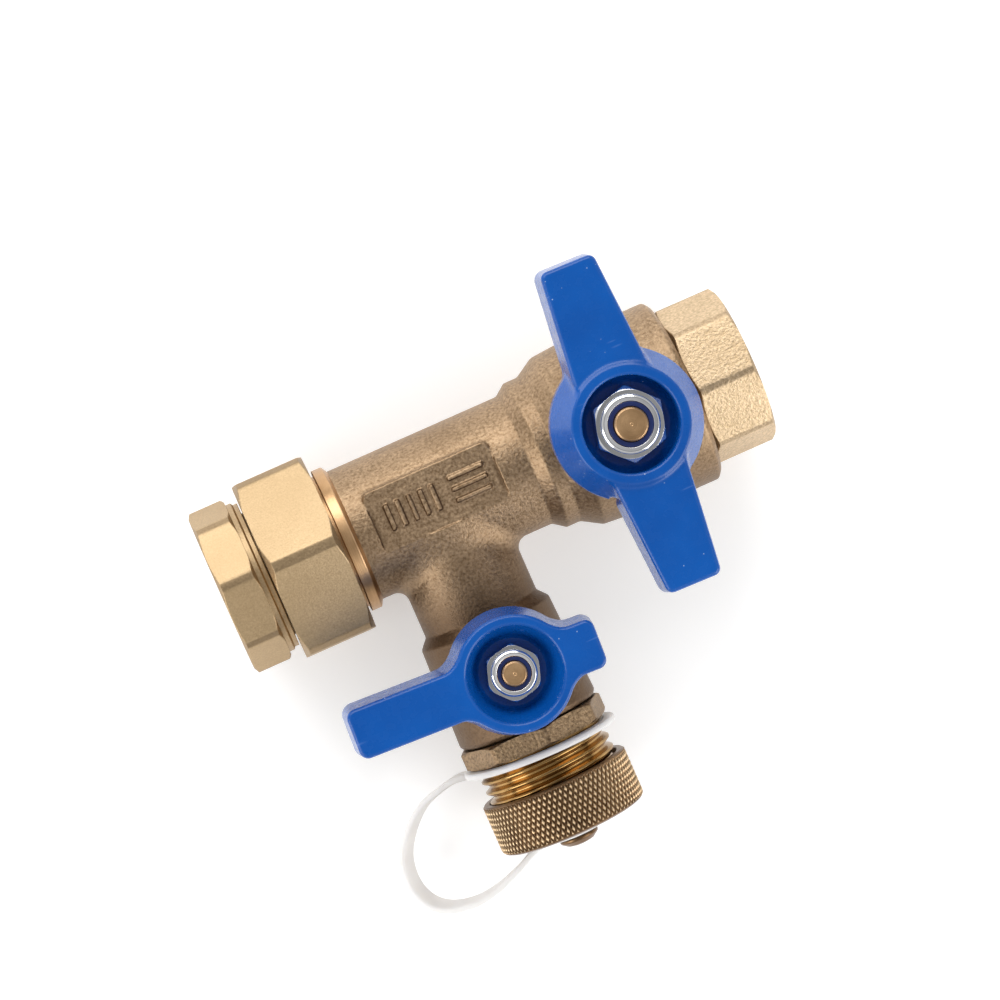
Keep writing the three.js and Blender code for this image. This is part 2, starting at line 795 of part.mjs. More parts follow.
const ringOf = ({ innerR, outerR, from, to }, sides) => ring(innerR, outerR, from, to, sides);
place(branch, "hose_outlet", hoseOutlet(), machinedBrass());
place(branch, "hose_cap", hoseCap(), darkBrass());
place(branch, "hose_cap_washer", ringOf(CAP_WASHER, SIDES), rubber());
place(branch, "cap_stud", capStud(), darkBrass());
place(branch, "strap_neck_ring", ringOf(NECK_RING, SIDES), strapPlastic());
place(branch, "strap_eyelet", ringOf(EYELET, SMALL_SIDES), strapPlastic());
const band = place(branch, "strap_band", strapBand(), strapPlastic());
const tilt = THREE.MathUtils.degToRad(STRAP_TILT_DEG);
band.quaternion.setFromRotationMatrix(
  new THREE.Matrix4().makeBasis(
    new THREE.Vector3(-Math.cos(tilt), -Math.sin(tilt), 0),
    new THREE.Vector3(0, 0, 1),
    new THREE.Vector3(-Math.sin(tilt), Math.cos(tilt), 0),
  ),
);

// ---------------------------------------------------------------- the part's own frame

// The origin is under the middle of the valve, on the surface that it lies on. The free strap
// doesn't count.
valve.updateMatrixWorld(true);
const rigid = new THREE.Box3();
valve.traverse((item) => {
  if (item.isMesh && item.name !== "strap_band") rigid.expandByObject(item, true);
});
const middle = rigid.getCenter(new THREE.Vector3());
valve.position.set(-middle.x, -middle.y, -rigid.min.z);

const part = new THREE.Group();
part.add(valve);

export default part;
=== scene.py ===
"""Looks of a brass isolation valve with a union, two ball valves and a capped hose drain.

Shapes are worked out in millimetres from the middle of the tee: the run lies along +X, the
drain branch along -Y and both stems along +Z. The floor is under the union nut.
"""

import math

import bpy
import numpy as np
from mathutils import Matrix, Vector


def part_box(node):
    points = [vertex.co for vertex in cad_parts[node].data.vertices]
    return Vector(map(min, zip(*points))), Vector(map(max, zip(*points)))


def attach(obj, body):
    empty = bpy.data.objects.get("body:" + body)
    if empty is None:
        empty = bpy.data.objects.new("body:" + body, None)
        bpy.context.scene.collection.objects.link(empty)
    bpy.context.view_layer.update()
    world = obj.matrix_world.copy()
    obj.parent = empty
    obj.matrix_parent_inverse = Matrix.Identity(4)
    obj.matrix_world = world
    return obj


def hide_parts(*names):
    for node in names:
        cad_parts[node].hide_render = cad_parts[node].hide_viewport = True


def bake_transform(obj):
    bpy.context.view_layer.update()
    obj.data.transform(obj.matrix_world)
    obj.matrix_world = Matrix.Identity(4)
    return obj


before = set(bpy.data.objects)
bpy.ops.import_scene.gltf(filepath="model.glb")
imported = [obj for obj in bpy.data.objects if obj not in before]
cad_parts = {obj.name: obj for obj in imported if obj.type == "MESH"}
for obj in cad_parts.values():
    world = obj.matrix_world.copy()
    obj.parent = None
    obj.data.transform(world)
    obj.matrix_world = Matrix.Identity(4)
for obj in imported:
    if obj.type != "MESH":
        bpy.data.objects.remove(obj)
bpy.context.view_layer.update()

MM = 0.001


def middle(node):
    low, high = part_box(node)
    return (low + high) / 2


TEE = np.array([middle("hose_cap").x, middle("union_nut").y, middle("hose_cap").z])

# ---------------------------------------------------------------- sizes, in millimetres

# places of the two stems, along the run and along the branch
MAIN_STEM_X = 38.5
DRAIN_STEM_B = 35.0
# how far each handle stands from square in the photo
MAIN_SET_DEG = -1.5
DRAIN_SET_DEG = -2.8
# one turn of the 3/4 in pipe threads and of the 3/4 in hose thread
PIPE_PITCH = 1.814
HOSE_PITCH = 2.209
# the strap lies in a plane tilted from level, and its route is (out, down) in that plane
STRAP_WIDTH = 5.0
STRAP_THICK = 1.3
STRAP_TILT = math.radians(22)
STRAP_TWIST = math.radians(-8)
STRAP_EDGE_R = 0.5
STRAP_ROUTE = [
    [15.0, 52.8], [16.2, 52.9], [18.6, 52.7], [21.8, 53.3], [27, 55], [31.3, 58.3],
    [34.7, 62.7], [36, 66.9], [35.7, 71], [33.7, 74.4], [30.2, 76.4], [25.3, 77],
    [20, 76.1], [14.8, 74.2], [10.5, 72.1], [8.2, 71.2], [5.75, 70.8], [4.6, 70.75],
]

# ---------------------------------------------------------------- camera

# turns about X and Y and the roll, fitted to the photo together with the distance
CAMERA_TURN = [math.radians(a) for a in (3.607, 3.6102, 23.9683)]
CAMERA_AIM = Vector((1.2749, 14.961, 20.135)) * MM
CAMERA_AWAY = 0.8
SENSOR_MM = 36.0
LENS_MM = 146.88


def add_camera():
    about_x, about_y, roll = CAMERA_TURN
    to_camera = (
        Matrix.Rotation(roll, 3, "Z")
        @ Matrix.Rotation(about_y, 3, "Y")
        @ Matrix.Rotation(about_x, 3, "X")
    )
    to_world = to_camera.transposed()
    data = bpy.data.cameras.new("camera")
    data.sensor_width = SENSOR_MM
    data.lens = LENS_MM
    data.clip_start = 0.01
    camera = bpy.data.objects.new("camera", data)
    place = CAMERA_AIM + to_world @ Vector((0, 0, CAMERA_AWAY))
    camera.matrix_world = Matrix.Translation(place) @ to_world.to_4x4()
    bpy.context.scene.collection.objects.link(camera)
    bpy.context.scene.camera = camera


add_camera()

# ---------------------------------------------------------------- directions of the pipes


def along_run(p):
    return np.stack([p[:, 2], p[:, 1], -p[:, 0]], axis=1)


def along_branch(p):
    return np.stack([p[:, 0], -p[:, 2], p[:, 1]], axis=1)


def on_main_stem(p):
    return p + [MAIN_STEM_X, 0, 0]


def on_drain_stem(p):
    return p + [0, -DRAIN_STEM_B, 0]


# ---------------------------------------------------------------- node materials


class Look:
    """A material under construction: nodes are added by name and linked as they are made."""

    def __init__(self, name, **fixed):
        self.material = bpy.data.materials.new(name)
        self.material.use_nodes = True
        self.tree = self.material.node_tree
        self.shader = self.tree.nodes["Principled BSDF"]
        for socket, value in fixed.items():
            self.shader.inputs[socket.replace("_", " ")].default_value = value
        self.place = self.add("ShaderNodeTexCoord").outputs["Object"]

    def add(self, kind, inputs=None, **settings):
        node = self.tree.nodes.new(kind)
        for key, value in settings.items():
            setattr(node, key, value)
        for key, value in (inputs or {}).items():
            self.feed(node.inputs[key], value)
        return node

    def feed(self, socket, value):
        if isinstance(value, bpy.types.NodeSocket):
            self.tree.links.new(value, socket)
        else:
            socket.default_value = value

    def noise(self, per_mm, detail=2.0, rough=0.5, at=None, stretch=None):
        """Noise from 0 to 1 with the given number of features in a millimetre."""
        where = at or self.place
        if stretch:
            where = self.add(
                "ShaderNodeMapping", {"Vector": where, "Scale": stretch}
            ).outputs["Vector"]
        inputs = {
            "Vector": where,
            "Scale": per_mm / MM,
            "Detail": detail,
            "Roughness": rough,
        }
        return self.add("ShaderNodeTexNoise", inputs).outputs["Fac"]

    def cells(self, per_mm):
        inputs = {"Vector": self.place, "Scale": per_mm / MM}
        return self.add("ShaderNodeTexVoronoi", inputs).outputs["Distance"]

    def span(self, value, low, high, to_low=0.0, to_high=1.0):
        inputs = {
            "Value": value,
            "From Min": low,
            "From Max": high,
            "To Min": to_low,
            "To Max": to_high,
        }
        return self.add("ShaderNodeMapRange", inputs).outputs["Result"]

    def maths(self, operation, a, b=0.0):
        node = self.add("ShaderNodeMath", operation=operation)
        self.feed(node.inputs[0], a)
        self.feed(node.inputs[1], b)
        return node.outputs[0]

    def mix(self, factor, a, b):
        node = self.add("ShaderNodeMix", data_type="RGBA")
        self.feed(node.inputs[0], factor)
        self.feed(node.inputs[6], a)
        self.feed(node.inputs[7], b)
        return node.outputs[2]

    def own(self, attribute):
        return self.add("ShaderNodeAttribute", attribute_name=attribute).outputs["Fac"]

    def colour(self, value):
        self.feed(self.shader.inputs["Base Color"], value)

    def roughness(self, value):
        self.feed(self.shader.inputs["Roughness"], value)

    def bump(self, height, depth_mm, strength=1.0, after=None):
        inputs = {"Height": height, "Distance": depth_mm * MM, "Strength": strength}
        if after:
            inputs["Normal"] = after
        normal = self.add("ShaderNodeBump", inputs).outputs["Normal"]
        self.feed(self.shader.inputs["Normal"], normal)
        return normal


def rgb(red, green, blue):
    return (red, green, blue, 1.0)


def cast_brass_look(name, low_tone, high_tone, grain_per_mm, depth_mm, contrast):
    """Blasted brass, darkened in its nooks by painted shade, and darker where it has kept its
    dark skin (patina) and where painted shade lies on the body's branch.
    """
    look = Look(name, Metallic=0.92)
    grain = look.noise(grain_per_mm, 3.0, 0.6)
    blotch = look.noise(0.1, 3.0)
    low, high = 0.5 - 0.2 / contrast, 0.5 + 0.2 / contrast
    shade = look.mix(look.span(grain, low, high), low_tone, high_tone)
    shade = look.mix(look.span(blotch, 0.35, 0.7, 0, 0.35), shade, low_tone)
    # patina: the dark skin left on turned corners, and on the body's branch darker metal with
    # painted shade
    dark = look.maths("MULTIPLY", look.own("patina"), 0.82)
    shade = look.mix(dark, shade, rgb(0.1, 0.06, 0.035))
    # painted shade: nook darkens corners and hollows towards dark brown
    shade = look.mix(look.own("nook"), shade, rgb(0.1, 0.055, 0.025))
    look.colour(shade)
    look.roughness(look.span(grain, 0.2, 0.8, 0.38, 0.55))
    coarse = look.bump(look.noise(grain_per_mm * 0.35, 2.0), depth_mm * 0.8, 0.5)
    look.bump(grain, depth_mm, 0.9, after=coarse)
    return look.material


def machined_brass_look(name, low, high, rough, marks=0.012, crest=None):
    """Turned brass with tool marks round it, and with a painted highlight on knurl crests if
    crest gives a colour.
    """
    look = Look(name, Metallic=1.0)
    line = look.add("ShaderNodeCombineXYZ", {"X": look.own("line")}).outputs[0]
    ridges = look.noise(0.006, 2.0, at=line)
    cloud = look.noise(0.16, 3.0)
    fine = look.noise(3.0, 2.0)
    shade = look.mix(look.span(cloud, 0.25, 0.75), low, high)
    shade = look.mix(look.span(fine, 0.55, 0.8, 0, 0.3), shade, low)
    # painted highlight: the crest colour brightens knurl crests, and the darker tones between
    # them are painted shade in the grooves
    if crest:
        shade = look.mix(look.span(look.own("crest"), 0.55, 1.0, 0, 0.9), shade, crest)
    look.colour(shade)
    look.roughness(look.span(cloud, 0.25, 0.75, rough, rough + 0.1))
    worn = look.bump(fine, 0.02, 0.5)
    look.bump(ridges, marks, 1.0, after=worn)
    return look.material


def blue_coating_look():
    look = Look(
        "blue_coating_look", Coat_Weight=0.2, Coat_Roughness=0.12, Specular_IOR_Level=0.3
    )
    specks = look.span(look.cells(0.55), 0.05, 0.07, 1, 0)
    chosen = look.span(look.noise(0.3, 1.0), 0.54, 0.6)
    dust = look.maths("MULTIPLY", specks, chosen)
    scratch = look.span(look.noise(0.35, 1.0, stretch=(0.3, 3.0, 1.0)), 0.74, 0.78)
    shade = look.mix(
        look.span(look.noise(0.08), 0.3, 0.7), rgb(0.001, 0.068, 0.32), rgb(0.0015, 0.086, 0.38)
    )
    shade = look.mix(look.maths("MULTIPLY", scratch, 0.12), shade, rgb(0.25, 0.4, 0.75))
    shade = look.mix(look.maths("MULTIPLY", dust, 0.7), shade, rgb(0.6, 0.7, 0.85))
    look.colour(shade)
    look.roughness(look.span(look.noise(0.6), 0.3, 0.7, 0.2, 0.32))
    look.bump(look.noise(0.35, 1.0), 0.02, 0.35)
    return look.material


def chrome_look():
    look = Look("chrome_look", Metallic=1.0)
    cloud = look.noise(0.4)
    look.colour(look.mix(cloud, rgb(0.74, 0.75, 0.77), rgb(0.9, 0.9, 0.91)))
    look.roughness(look.span(cloud, 0.3, 0.7, 0.07, 0.17))
    look.bump(look.noise(1.5), 0.01, 0.3)
    return look.material


def plastic_look(name, low, high, rough, grain_mm=0.02, **fixed):
    look = Look(name, **fixed)
    cloud = look.noise(0.15, 3.0)
    look.colour(look.mix(look.span(cloud, 0.3, 0.7), low, high))
    look.roughness(look.span(look.noise(1.2), 0.3, 0.7, rough, rough + 0.12))
    look.bump(look.noise(0.8, 2.0), grain_mm, 0.4)
    return look.material


LOOKS = {
    "cast_brass": cast_brass_look(
        "cast_brass_look", rgb(0.22, 0.14, 0.075), rgb(0.54, 0.38, 0.235), 1.7, 0.15, 1.0
    ),
    # painted light: a lighter copy of the cast brass, for the run end's brightly lit facets
    "lit_brass": cast_brass_look(
        "lit_brass_look", rgb(0.46, 0.33, 0.19), rgb(0.84, 0.65, 0.43), 1.8, 0.17, 0.9
    ),
    # painted shade and dirt: a darker copy of the cast brass for the outlet octagon by the
    # drain handle
    "shade_and_dirt_brass": cast_brass_look(
        "shade_and_dirt_brass_look", rgb(0.15, 0.095, 0.05), rgb(0.46, 0.32, 0.19), 1.8, 0.17, 1.0
    ),
    "machined_brass": machined_brass_look(
        "machined_brass_look", rgb(0.24, 0.13, 0.04), rgb(0.5, 0.31, 0.12), 0.14
    ),
    "satin_brass": cast_brass_look(
        "satin_brass_look", rgb(0.4, 0.28, 0.15), rgb(0.6, 0.44, 0.26), 2.6, 0.05, 0.8
    ),
    "stem_brass": machined_brass_look(
        "stem_brass_look", rgb(0.42, 0.24, 0.11), rgb(0.74, 0.48, 0.26), 0.3, 0.06
    ),
    # painted shade and highlight: dark tones for the knurl's grooves (also on the rest of the
    # cap and the stud), a bright crest colour for its crests
    "cap_brass": machined_brass_look(
        "cap_brass_look",
        rgb(0.12, 0.065, 0.032),
        rgb(0.22, 0.135, 0.07),
        0.26,
        crest=rgb(0.82, 0.6, 0.36),
    ),
    "steel": chrome_look(),
    "handle_paint": blue_coating_look(),
    "ptfe": plastic_look("ptfe_look", rgb(0.82, 0.82, 0.79), rgb(0.9, 0.9, 0.88), 0.35),
    "strap_plastic": plastic_look(
        "strap_plastic_look",
        rgb(0.8, 0.77, 0.745),
        rgb(0.87, 0.85, 0.825),
        0.35,
        Subsurface_Weight=0.5,
        Subsurface_Radius=(0.003, 0.0028, 0.0026),
        Subsurface_Scale=1.0,
        Transmission_Weight=0.1,
    ),
    "rubber": plastic_look("rubber_look", rgb(0.012, 0.012, 0.013), rgb(0.03, 0.03, 0.03), 0.6),
    "nylon": plastic_look("nylon_look", rgb(0.004, 0.012, 0.07), rgb(0.008, 0.02, 0.11), 0.3),
}

# ---------------------------------------------------------------- pieces from points and faces


def add_piece(name, points, face_sets, body, nodes, slot, look=None, **fields):
    """A mesh from points in valve millimetres. fields are values at each point, by name."""
    corners = np.concatenate([faces.ravel() for faces in face_sets])
    sizes = np.concatenate([np.full(len(faces), faces.shape[1]) for faces in face_sets])
    mesh = bpy.data.meshes.new(name)
    mesh.vertices.add(len(points))
    mesh.vertices.foreach_set("co", (points * MM + TEE).astype(np.float32).ravel())
    mesh.loops.add(len(corners))
    mesh.loops.foreach_set("vertex_index", corners.astype(np.int32))
    mesh.polygons.add(len(sizes))
    starts = np.concatenate([[0], np.cumsum(sizes)[:-1]])
    mesh.polygons.foreach_set("loop_start", starts.astype(np.int32))
    mesh.polygons.foreach_set("use_smooth", np.ones(len(sizes), dtype=bool))
    mesh.update(calc_edges=True)
    normals = fields.pop("normals", None)
    for field, values in fields.items():
        layer = mesh.attributes.new(field, "FLOAT", "POINT")
        layer.data.foreach_set("value", np.asarray(values, dtype=np.float32))
    if normals is not None:
        mesh.normals_split_custom_set_from_vertices(normals.tolist())
    mesh.materials.append(LOOKS[look or slot])
    piece = bpy.data.objects.new(name, mesh)
    bpy.context.scene.collection.objects.link(piece)
    if body:
        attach(piece, body)
    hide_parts(*nodes)
    return piece


# ---------------------------------------------------------------- turned pieces

ARC_STEPS = 4
# a point this far before and after each rounded corner keeps the flats flat
GUARD = 0.12
FLAT_EDGE_R = 0.18
CORNER_RISE = 0.05
THREAD_FADE = 0.6
KNURL_FADE = 0.35
CORNER_PATINA = 0.4


def outline(corners, fillet=0.2, step=None, closed=True):
    """A line through (place, radius) corners, with a point at least every step.

    Each corner is rounded by its own third number, or by fillet.
    """
    full = [(*c, fillet) if len(c) == 2 else tuple(c) for c in corners]
    count = len(full)
    line = []
    for i, (place, radius, round_by) in enumerate(full):
        here = np.array([place, radius])
        if (not closed and i in (0, count - 1)) or round_by == 0:
            line.append(here)
            continue
        before = np.array(full[i - 1][:2]) - here
        after = np.array(full[(i + 1) % count][:2]) - here
        far, near = np.linalg.norm(before), np.linalg.norm(after)
        cosine = np.clip(before @ after / (far * near), -1, 1)
        half = math.acos(cosine) / 2
        reach = min(round_by / math.tan(half), 0.45 * far, 0.45 * near)
        start, end = here + before / far * reach, here + after / near * reach
        guard = min(GUARD, 0.04 * far), min(GUARD, 0.04 * near)
        line.append(start + before / far * guard[0])
        for k in range(ARC_STEPS + 1):
            t = k / ARC_STEPS
            line.append((1 - t) ** 2 * start + 2 * t * (1 - t) * here + t * t * end)
        line.append(end + after / near * guard[1])
    if closed:
        line.append(line[0])
    if not step:
        return np.array(line[:-1] if closed else line)
    dense = []
    for a, b in zip(line, line[1:]):
        pieces = max(1, math.ceil(np.linalg.norm(b - a) / step))
        dense += [a + (b - a) * k / pieces for k in range(pieces)]
    if not closed:
        dense.append(line[-1])
    return np.array(dense)


def round_union(a, b, r):
    """Both shapes, with a fillet of radius r in the corner between them."""
    return np.maximum(np.minimum(a, b), r) - np.hypot(
        np.maximum(r - a, 0), np.maximum(r - b, 0)
    )


def round_common(a, b, r):
    """What both shapes share, with its edge rounded to radius r."""
    return np.minimum(np.maximum(a, b), -r) + np.hypot(
        np.maximum(a + r, 0), np.maximum(b + r, 0)
    )


def prism_radius(angle, sides, flats, turn_deg):
    part = 2 * math.pi / sides
    from_corner = np.mod(angle - math.radians(turn_deg), part)
    return flats / 2 / np.cos(from_corner - part / 2)


def thread_wave(phase):
    """0 on a crest and 1 in a root."""
    slope = 1 - np.abs(2 * np.mod(phase, 1) - 1)
    return np.clip((slope - 0.2) / 0.6, 0, 1)


def fade_in(place, start, end, reach):
    """1 between start and end, falling to 0 over reach at both of them."""
    return np.clip((place - start) / reach, 0, 1) * np.clip((end - place) / reach, 0, 1)


def soft_least(a, b, r):
    """The smaller of two radii, with the edge between them rounded by about r."""
    reach = np.maximum(r - np.abs(a - b), 0) / r
    return np.minimum(a, b) - reach * reach * r * 0.25


def turn(line, count=96, prisms=(), threads=(), knurl=None, solid=False):
    """Points, faces and fields of a line of (place, radius) turned about local +Z.

    prisms: (from, to, sides, flats, turn in degrees) cut the outside down to a prism.
    threads: (from, to, smallest radius, largest radius, pitch, depth, crest at) cut a helix;
    a negative depth cuts outwards, into the wall of a bore.
    knurl: (from, to, smallest radius, teeth, lead, depth) cuts two crossing sets of grooves.
    solid closes both ends of a line that isn't a loop.
    """
    angle = np.arange(count) / count * 2 * math.pi
    place = np.repeat(line[:, :1], count, axis=1)
    radius = np.repeat(line[:, 1:], count, axis=1)
    plain = radius.copy()
    skin_left = np.zeros_like(radius)
    for start, end, sides, flats, turn_deg in prisms:
        flat = prism_radius(angle, sides, flats, turn_deg)[None, :]
        within = (line[:, 0] >= start) & (line[:, 0] <= end)
        soft = soft_least(radius, flat, FLAT_EDGE_R)
        # the corners that the flats don't reach keep their turned outside, and its dark skin
        corner = np.clip((flat - plain) / CORNER_RISE, 0, 1) * (plain > 0.97 * flats / 2)
        skin_left = np.where(within[:, None], corner, skin_left)
        radius = np.where(within[:, None], soft, radius)
    for start, end, low, high, pitch, depth, crest in threads:
        phase = (place - crest) / pitch - angle[None, :] / (2 * math.pi) + 0.25
        fade = fade_in(place, start, end, THREAD_FADE * pitch)
        within = (plain >= low) & (plain <= high) & (place >= start) & (place <= end)
        radius = np.where(within, radius - depth * fade * thread_wave(phase), radius)
    crest_height = np.zeros_like(radius)
    if knurl:
        start, end, low, teeth, lead, depth = knurl
        across = angle[None, :] * teeth / (2 * math.pi)
        one = np.abs(2 * np.mod(across + place / lead, 1) - 1)
        other = np.abs(2 * np.mod(across - place / lead, 1) - 1)
        crest_height = np.clip(np.minimum(one, other) * 1.5, 0, 1)
        fade = fade_in(place, start, end, KNURL_FADE) * (plain > low)
        radius = radius - depth * fade * (1 - crest_height)
        crest_height = crest_height * fade
    points = np.stack(
        [radius * np.cos(angle), radius * np.sin(angle), place], axis=2
    ).reshape(-1, 3)
    rows = len(line)
    row = np.arange(rows - 1 if solid else rows)
    a = row[:, None] * count + np.arange(count)[None, :]
    b = row[:, None] * count + (np.arange(count)[None, :] + 1) % count
    up = ((row + 1) % rows)[:, None] * count
    c = up + (np.arange(count)[None, :] + 1) % count
    d = up + np.arange(count)[None, :]
    quads = np.stack([a, b, c, d], axis=2).reshape(-1, 4)
    steps = np.linalg.norm(np.diff(line, axis=0), axis=1)
    travel = np.repeat(np.concatenate([[0], np.cumsum(steps)]), count)
    faces = [quads]
    if solid:
        first, last = len(points), len(points) + 1
        ends = [[0, 0, line[0, 0]], [0, 0, line[-1, 0]]]
        points = np.concatenate([points, ends])
        travel = np.concatenate([travel, [travel[0], travel[-1] + line[-1, 1]]])
        crest_height = np.concatenate([crest_height.ravel(), [0, 0]])
        skin_left = np.concatenate([skin_left.ravel(), [0, 0]])
        k = np.arange(count)
        k2 = (k + 1) % count
        base = (rows - 1) * count
        faces.append(np.stack([np.full(count, first), k2, k], axis=1))
        faces.append(np.stack([np.full(count, last), base + k, base + k2], axis=1))
    fields = {
        "line": travel,
        # knurl crest height, which cap_brass_look turns into a painted highlight on the crests
        "crest": crest_height.ravel(),
        "patina": CORNER_PATINA * skin_left.ravel(),
    }
    return points, faces, fields


def turned_piece(name, shape, way, body, nodes, slot, look=None):
    points, faces, fields = shape
    for step in way:
        points = step(points)
    return add_piece(name, points, faces, body, nodes, slot, look, **fields)


# ---------------------------------------------------------------- cast and moulded pieces


def polygon_distance(x, y, corners):
    """Signed distance to a closed polygon, negative inside."""
    corners = np.asarray(corners, dtype=np.float32)
    nearest = np.full(x.shape, 1e9, dtype=np.float32)
    inside = np.zeros(x.shape, dtype=bool)
    for (ax, ay), (bx, by) in zip(corners, np.roll(corners, -1, axis=0)):
        ex, ey = bx - ax, by - ay
        px, py = x - ax, y - ay
        t = np.clip((px * ex + py * ey) / max(ex * ex + ey * ey, 1e-9), 0, 1)
        nearest = np.minimum(nearest, (px - t * ex) ** 2 + (py - t * ey) ** 2)
        crosses = (ay > y) != (by > y)
        if by != ay:
            inside ^= crosses & (x < ax + (y - ay) * ex / ey)
    return np.where(inside, -1, 1) * np.sqrt(nearest)


# how far past its outline a revolved shape's distances are known
TABLE_MARGIN = 7


def revolved(corners, fillet, step=0.1):
    """Distance to a solid of revolution, as a function of place and radius."""
    line = outline([(corners[0][0], 0, 0), *corners, (corners[-1][0], 0, 0)], fillet)
    mirrored = np.concatenate([line, line[::-1] * [1, -1]])
    low, high = line.min(axis=0) - TABLE_MARGIN, line.max(axis=0) + TABLE_MARGIN
    places = np.arange(low[0], high[0], step, dtype=np.float32)
    radii = np.arange(0, high[1], step, dtype=np.float32)
    grid = np.meshgrid(places, radii, indexing="ij")
    table = polygon_distance(grid[0], grid[1], mirrored)

    def distance(place, radius):
        i = np.clip((place - low[0]) / step, 0, len(places) - 2.001)
        j = np.clip(radius / step, 0, len(radii) - 2.001)
        i0, j0 = i.astype(np.int32), j.astype(np.int32)
        u, v = i - i0, j - j0
        near = table[i0, j0] * (1 - v) + table[i0, j0 + 1] * v
        far = table[i0 + 1, j0] * (1 - v) + table[i0 + 1, j0 + 1] * v
        return near * (1 - u) + far * u

    return distance


def slab(z, low, high):
    return np.abs(z - (low + high) / 2) - (high - low) / 2


def upright(plan, z, low, high, r):
    """A plan shape standing between two levels, with its edges rounded to r."""
    return round_common(plan, slab(z, low, high), r)


def plan_box(x, y, centre, half, r):
    dx = np.abs(x - centre[0]) - half[0] + r
    dy = np.abs(y - centre[1]) - half[1] + r
    return np.minimum(np.maximum(dx, dy), 0) + np.hypot(
        np.maximum(dx, 0), np.maximum(dy, 0)
    ) - r


def remove(shape, cutter, r=0.15):
    return round_common(shape, -cutter, r)


CORNERS = [(i, j, k) for i in (0, 1) for j in (0, 1) for k in (0, 1)]
EDGES = [
    (a, b)
    for a in range(8)
    for b in range(a + 1, 8)
    if sum(abs(p - q) for p, q in zip(CORNERS[a], CORNERS[b])) == 1
]


def gradient(field, points, reach=0.04):
    parts = []
    for axis in range(3):
        step = np.zeros(3)
        step[axis] = reach
        ahead, behind = points + step, points - step
        parts.append((field(*ahead.T) - field(*behind.T)) / (2 * reach))
    return np.stack(parts, axis=1)


def skin(field, low, high, cell, settle=4, nook_reach=1.1):
    """Points, quads, normals and nook of the surface where a distance field is zero.

    nook is 0 on open surface and nears 1 where other surface stands close in front of it.
    The brass looks darken by it: painted shade in corners and hollows.
    """
    low, high = np.array(low, dtype=float), np.array(high, dtype=float)
    ticks = [np.arange(a, b + cell, cell) for a, b in zip(low, high)]
    grid = np.meshgrid(*ticks, indexing="ij")
    value = field(*[g.astype(np.float32) for g in grid])
    n = [len(t) - 1 for t in ticks]
    below = value < 0
    count = np.zeros(n, dtype=np.int8)
    for i, j, k in CORNERS:
        count += below[i : i + n[0], j : j + n[1], k : k + n[2]]
    cells = np.argwhere((count > 0) & (count < 8))
    at = [value[tuple((cells + c).T)] for c in CORNERS]
    total = np.zeros((len(cells), 3))
    crossed = np.zeros(len(cells))
    for a, b in EDGES:
        crosses = (at[a] < 0) != (at[b] < 0)
        t = np.where(crosses, at[a] / np.where(crosses, at[a] - at[b], 1), 0)
        start, end = np.array(CORNERS[a]), np.array(CORNERS[b])
        total += crosses[:, None] * (start + t[:, None] * (end - start))
        crossed += crosses
    points = low + (cells + total / crossed[:, None]) * cell
    for _ in range(settle):
        slope = gradient(field, points)
        size = np.maximum((slope**2).sum(axis=1, keepdims=True), 0.2)
        move = field(*points.T)[:, None] * slope / size
        points = points - np.clip(move, -cell / 2, cell / 2)
    slope = gradient(field, points)
    normals = slope / np.maximum(np.linalg.norm(slope, axis=1, keepdims=True), 1e-6)
    number = np.full(n, -1, dtype=np.int64)
    number[tuple(cells.T)] = np.arange(len(cells))
    quads = []
    for axis in range(3):
        one, two = (axis + 1) % 3, (axis + 2) % 3
        lower = np.take(below, range(value.shape[axis] - 1), axis=axis)
        upper = np.take(below, range(1, value.shape[axis]), axis=axis)
        edge = np.argwhere(lower != upper)
        for side in (one, two):
            edge = edge[(edge[:, side] > 0) & (edge[:, side] < n[side])]
        leaving = lower[tuple(edge.T)]
        step_one, step_two = np.zeros(3, int), np.zeros(3, int)
        step_one[one], step_two[two] = 1, 1
        ring = [edge - step_one - step_two, edge - step_two, edge, edge - step_one]
        quad = np.stack([number[tuple(c.T)] for c in ring], axis=1)
        quad[~leaving] = quad[~leaving][:, ::-1]
        quads.append(quad)
    quads = np.concatenate(quads)
    quads = quads[(quads >= 0).all(axis=1)]
    # nook: the closer other surface stands in front of a point, the more painted shade it gets
    beyond = field(*(points + normals * nook_reach).T)
    nook = np.clip(1 - beyond / nook_reach, 0, 1)
    return points, quads, normals, nook


def moulded_piece(name, field, low, high, cell, body, nodes, slot, way=()):
    points, quads, normals, nook = skin(field, low, high, cell)
    # the body's branch is painted darker than its run: partly darker metal, partly painted
    # shade for the shadow the handles cast on it
    patina = np.clip((-points[:, 1] - 9) / 14, 0, 1) if slot == "cast_brass" else 0 * nook
    for step in way:
        normals = step(points + normals)
        points = step(points)
        normals = normals - points
    return add_piece(
        name, points, [quads], body, nodes, slot, normals=normals, nook=nook, patina=patina
    )


# ---------------------------------------------------------------- strap of the cap


def strap_centreline(count=120):
    """Even points along the strap's route, as (out, down) in the plane it hangs in."""
    route = np.array(STRAP_ROUTE, dtype=float)
    ends = [2 * route[0] - route[1], 2 * route[-1] - route[-2]]
    knots = np.concatenate([[ends[0]], route, [ends[1]]])
    dense = []
    for p0, p1, p2, p3 in zip(knots, knots[1:], knots[2:], knots[3:]):
        for t in np.linspace(0, 1, 20, endpoint=False):
            dense.append(
                0.5
                * (
                    2 * p1
                    + (p2 - p0) * t
                    + (2 * p0 - 5 * p1 + 4 * p2 - p3) * t**2
                    + (3 * p1 - p0 - 3 * p2 + p3) * t**3
                )
            )
    dense = np.array(dense + [route[-1]])
    travel = np.concatenate([[0], np.cumsum(np.linalg.norm(np.diff(dense, axis=0), axis=1))])
    even = np.linspace(0, travel[-1], count)
    return np.stack([np.interp(even, travel, dense[:, i]) for i in (0, 1)], axis=1)


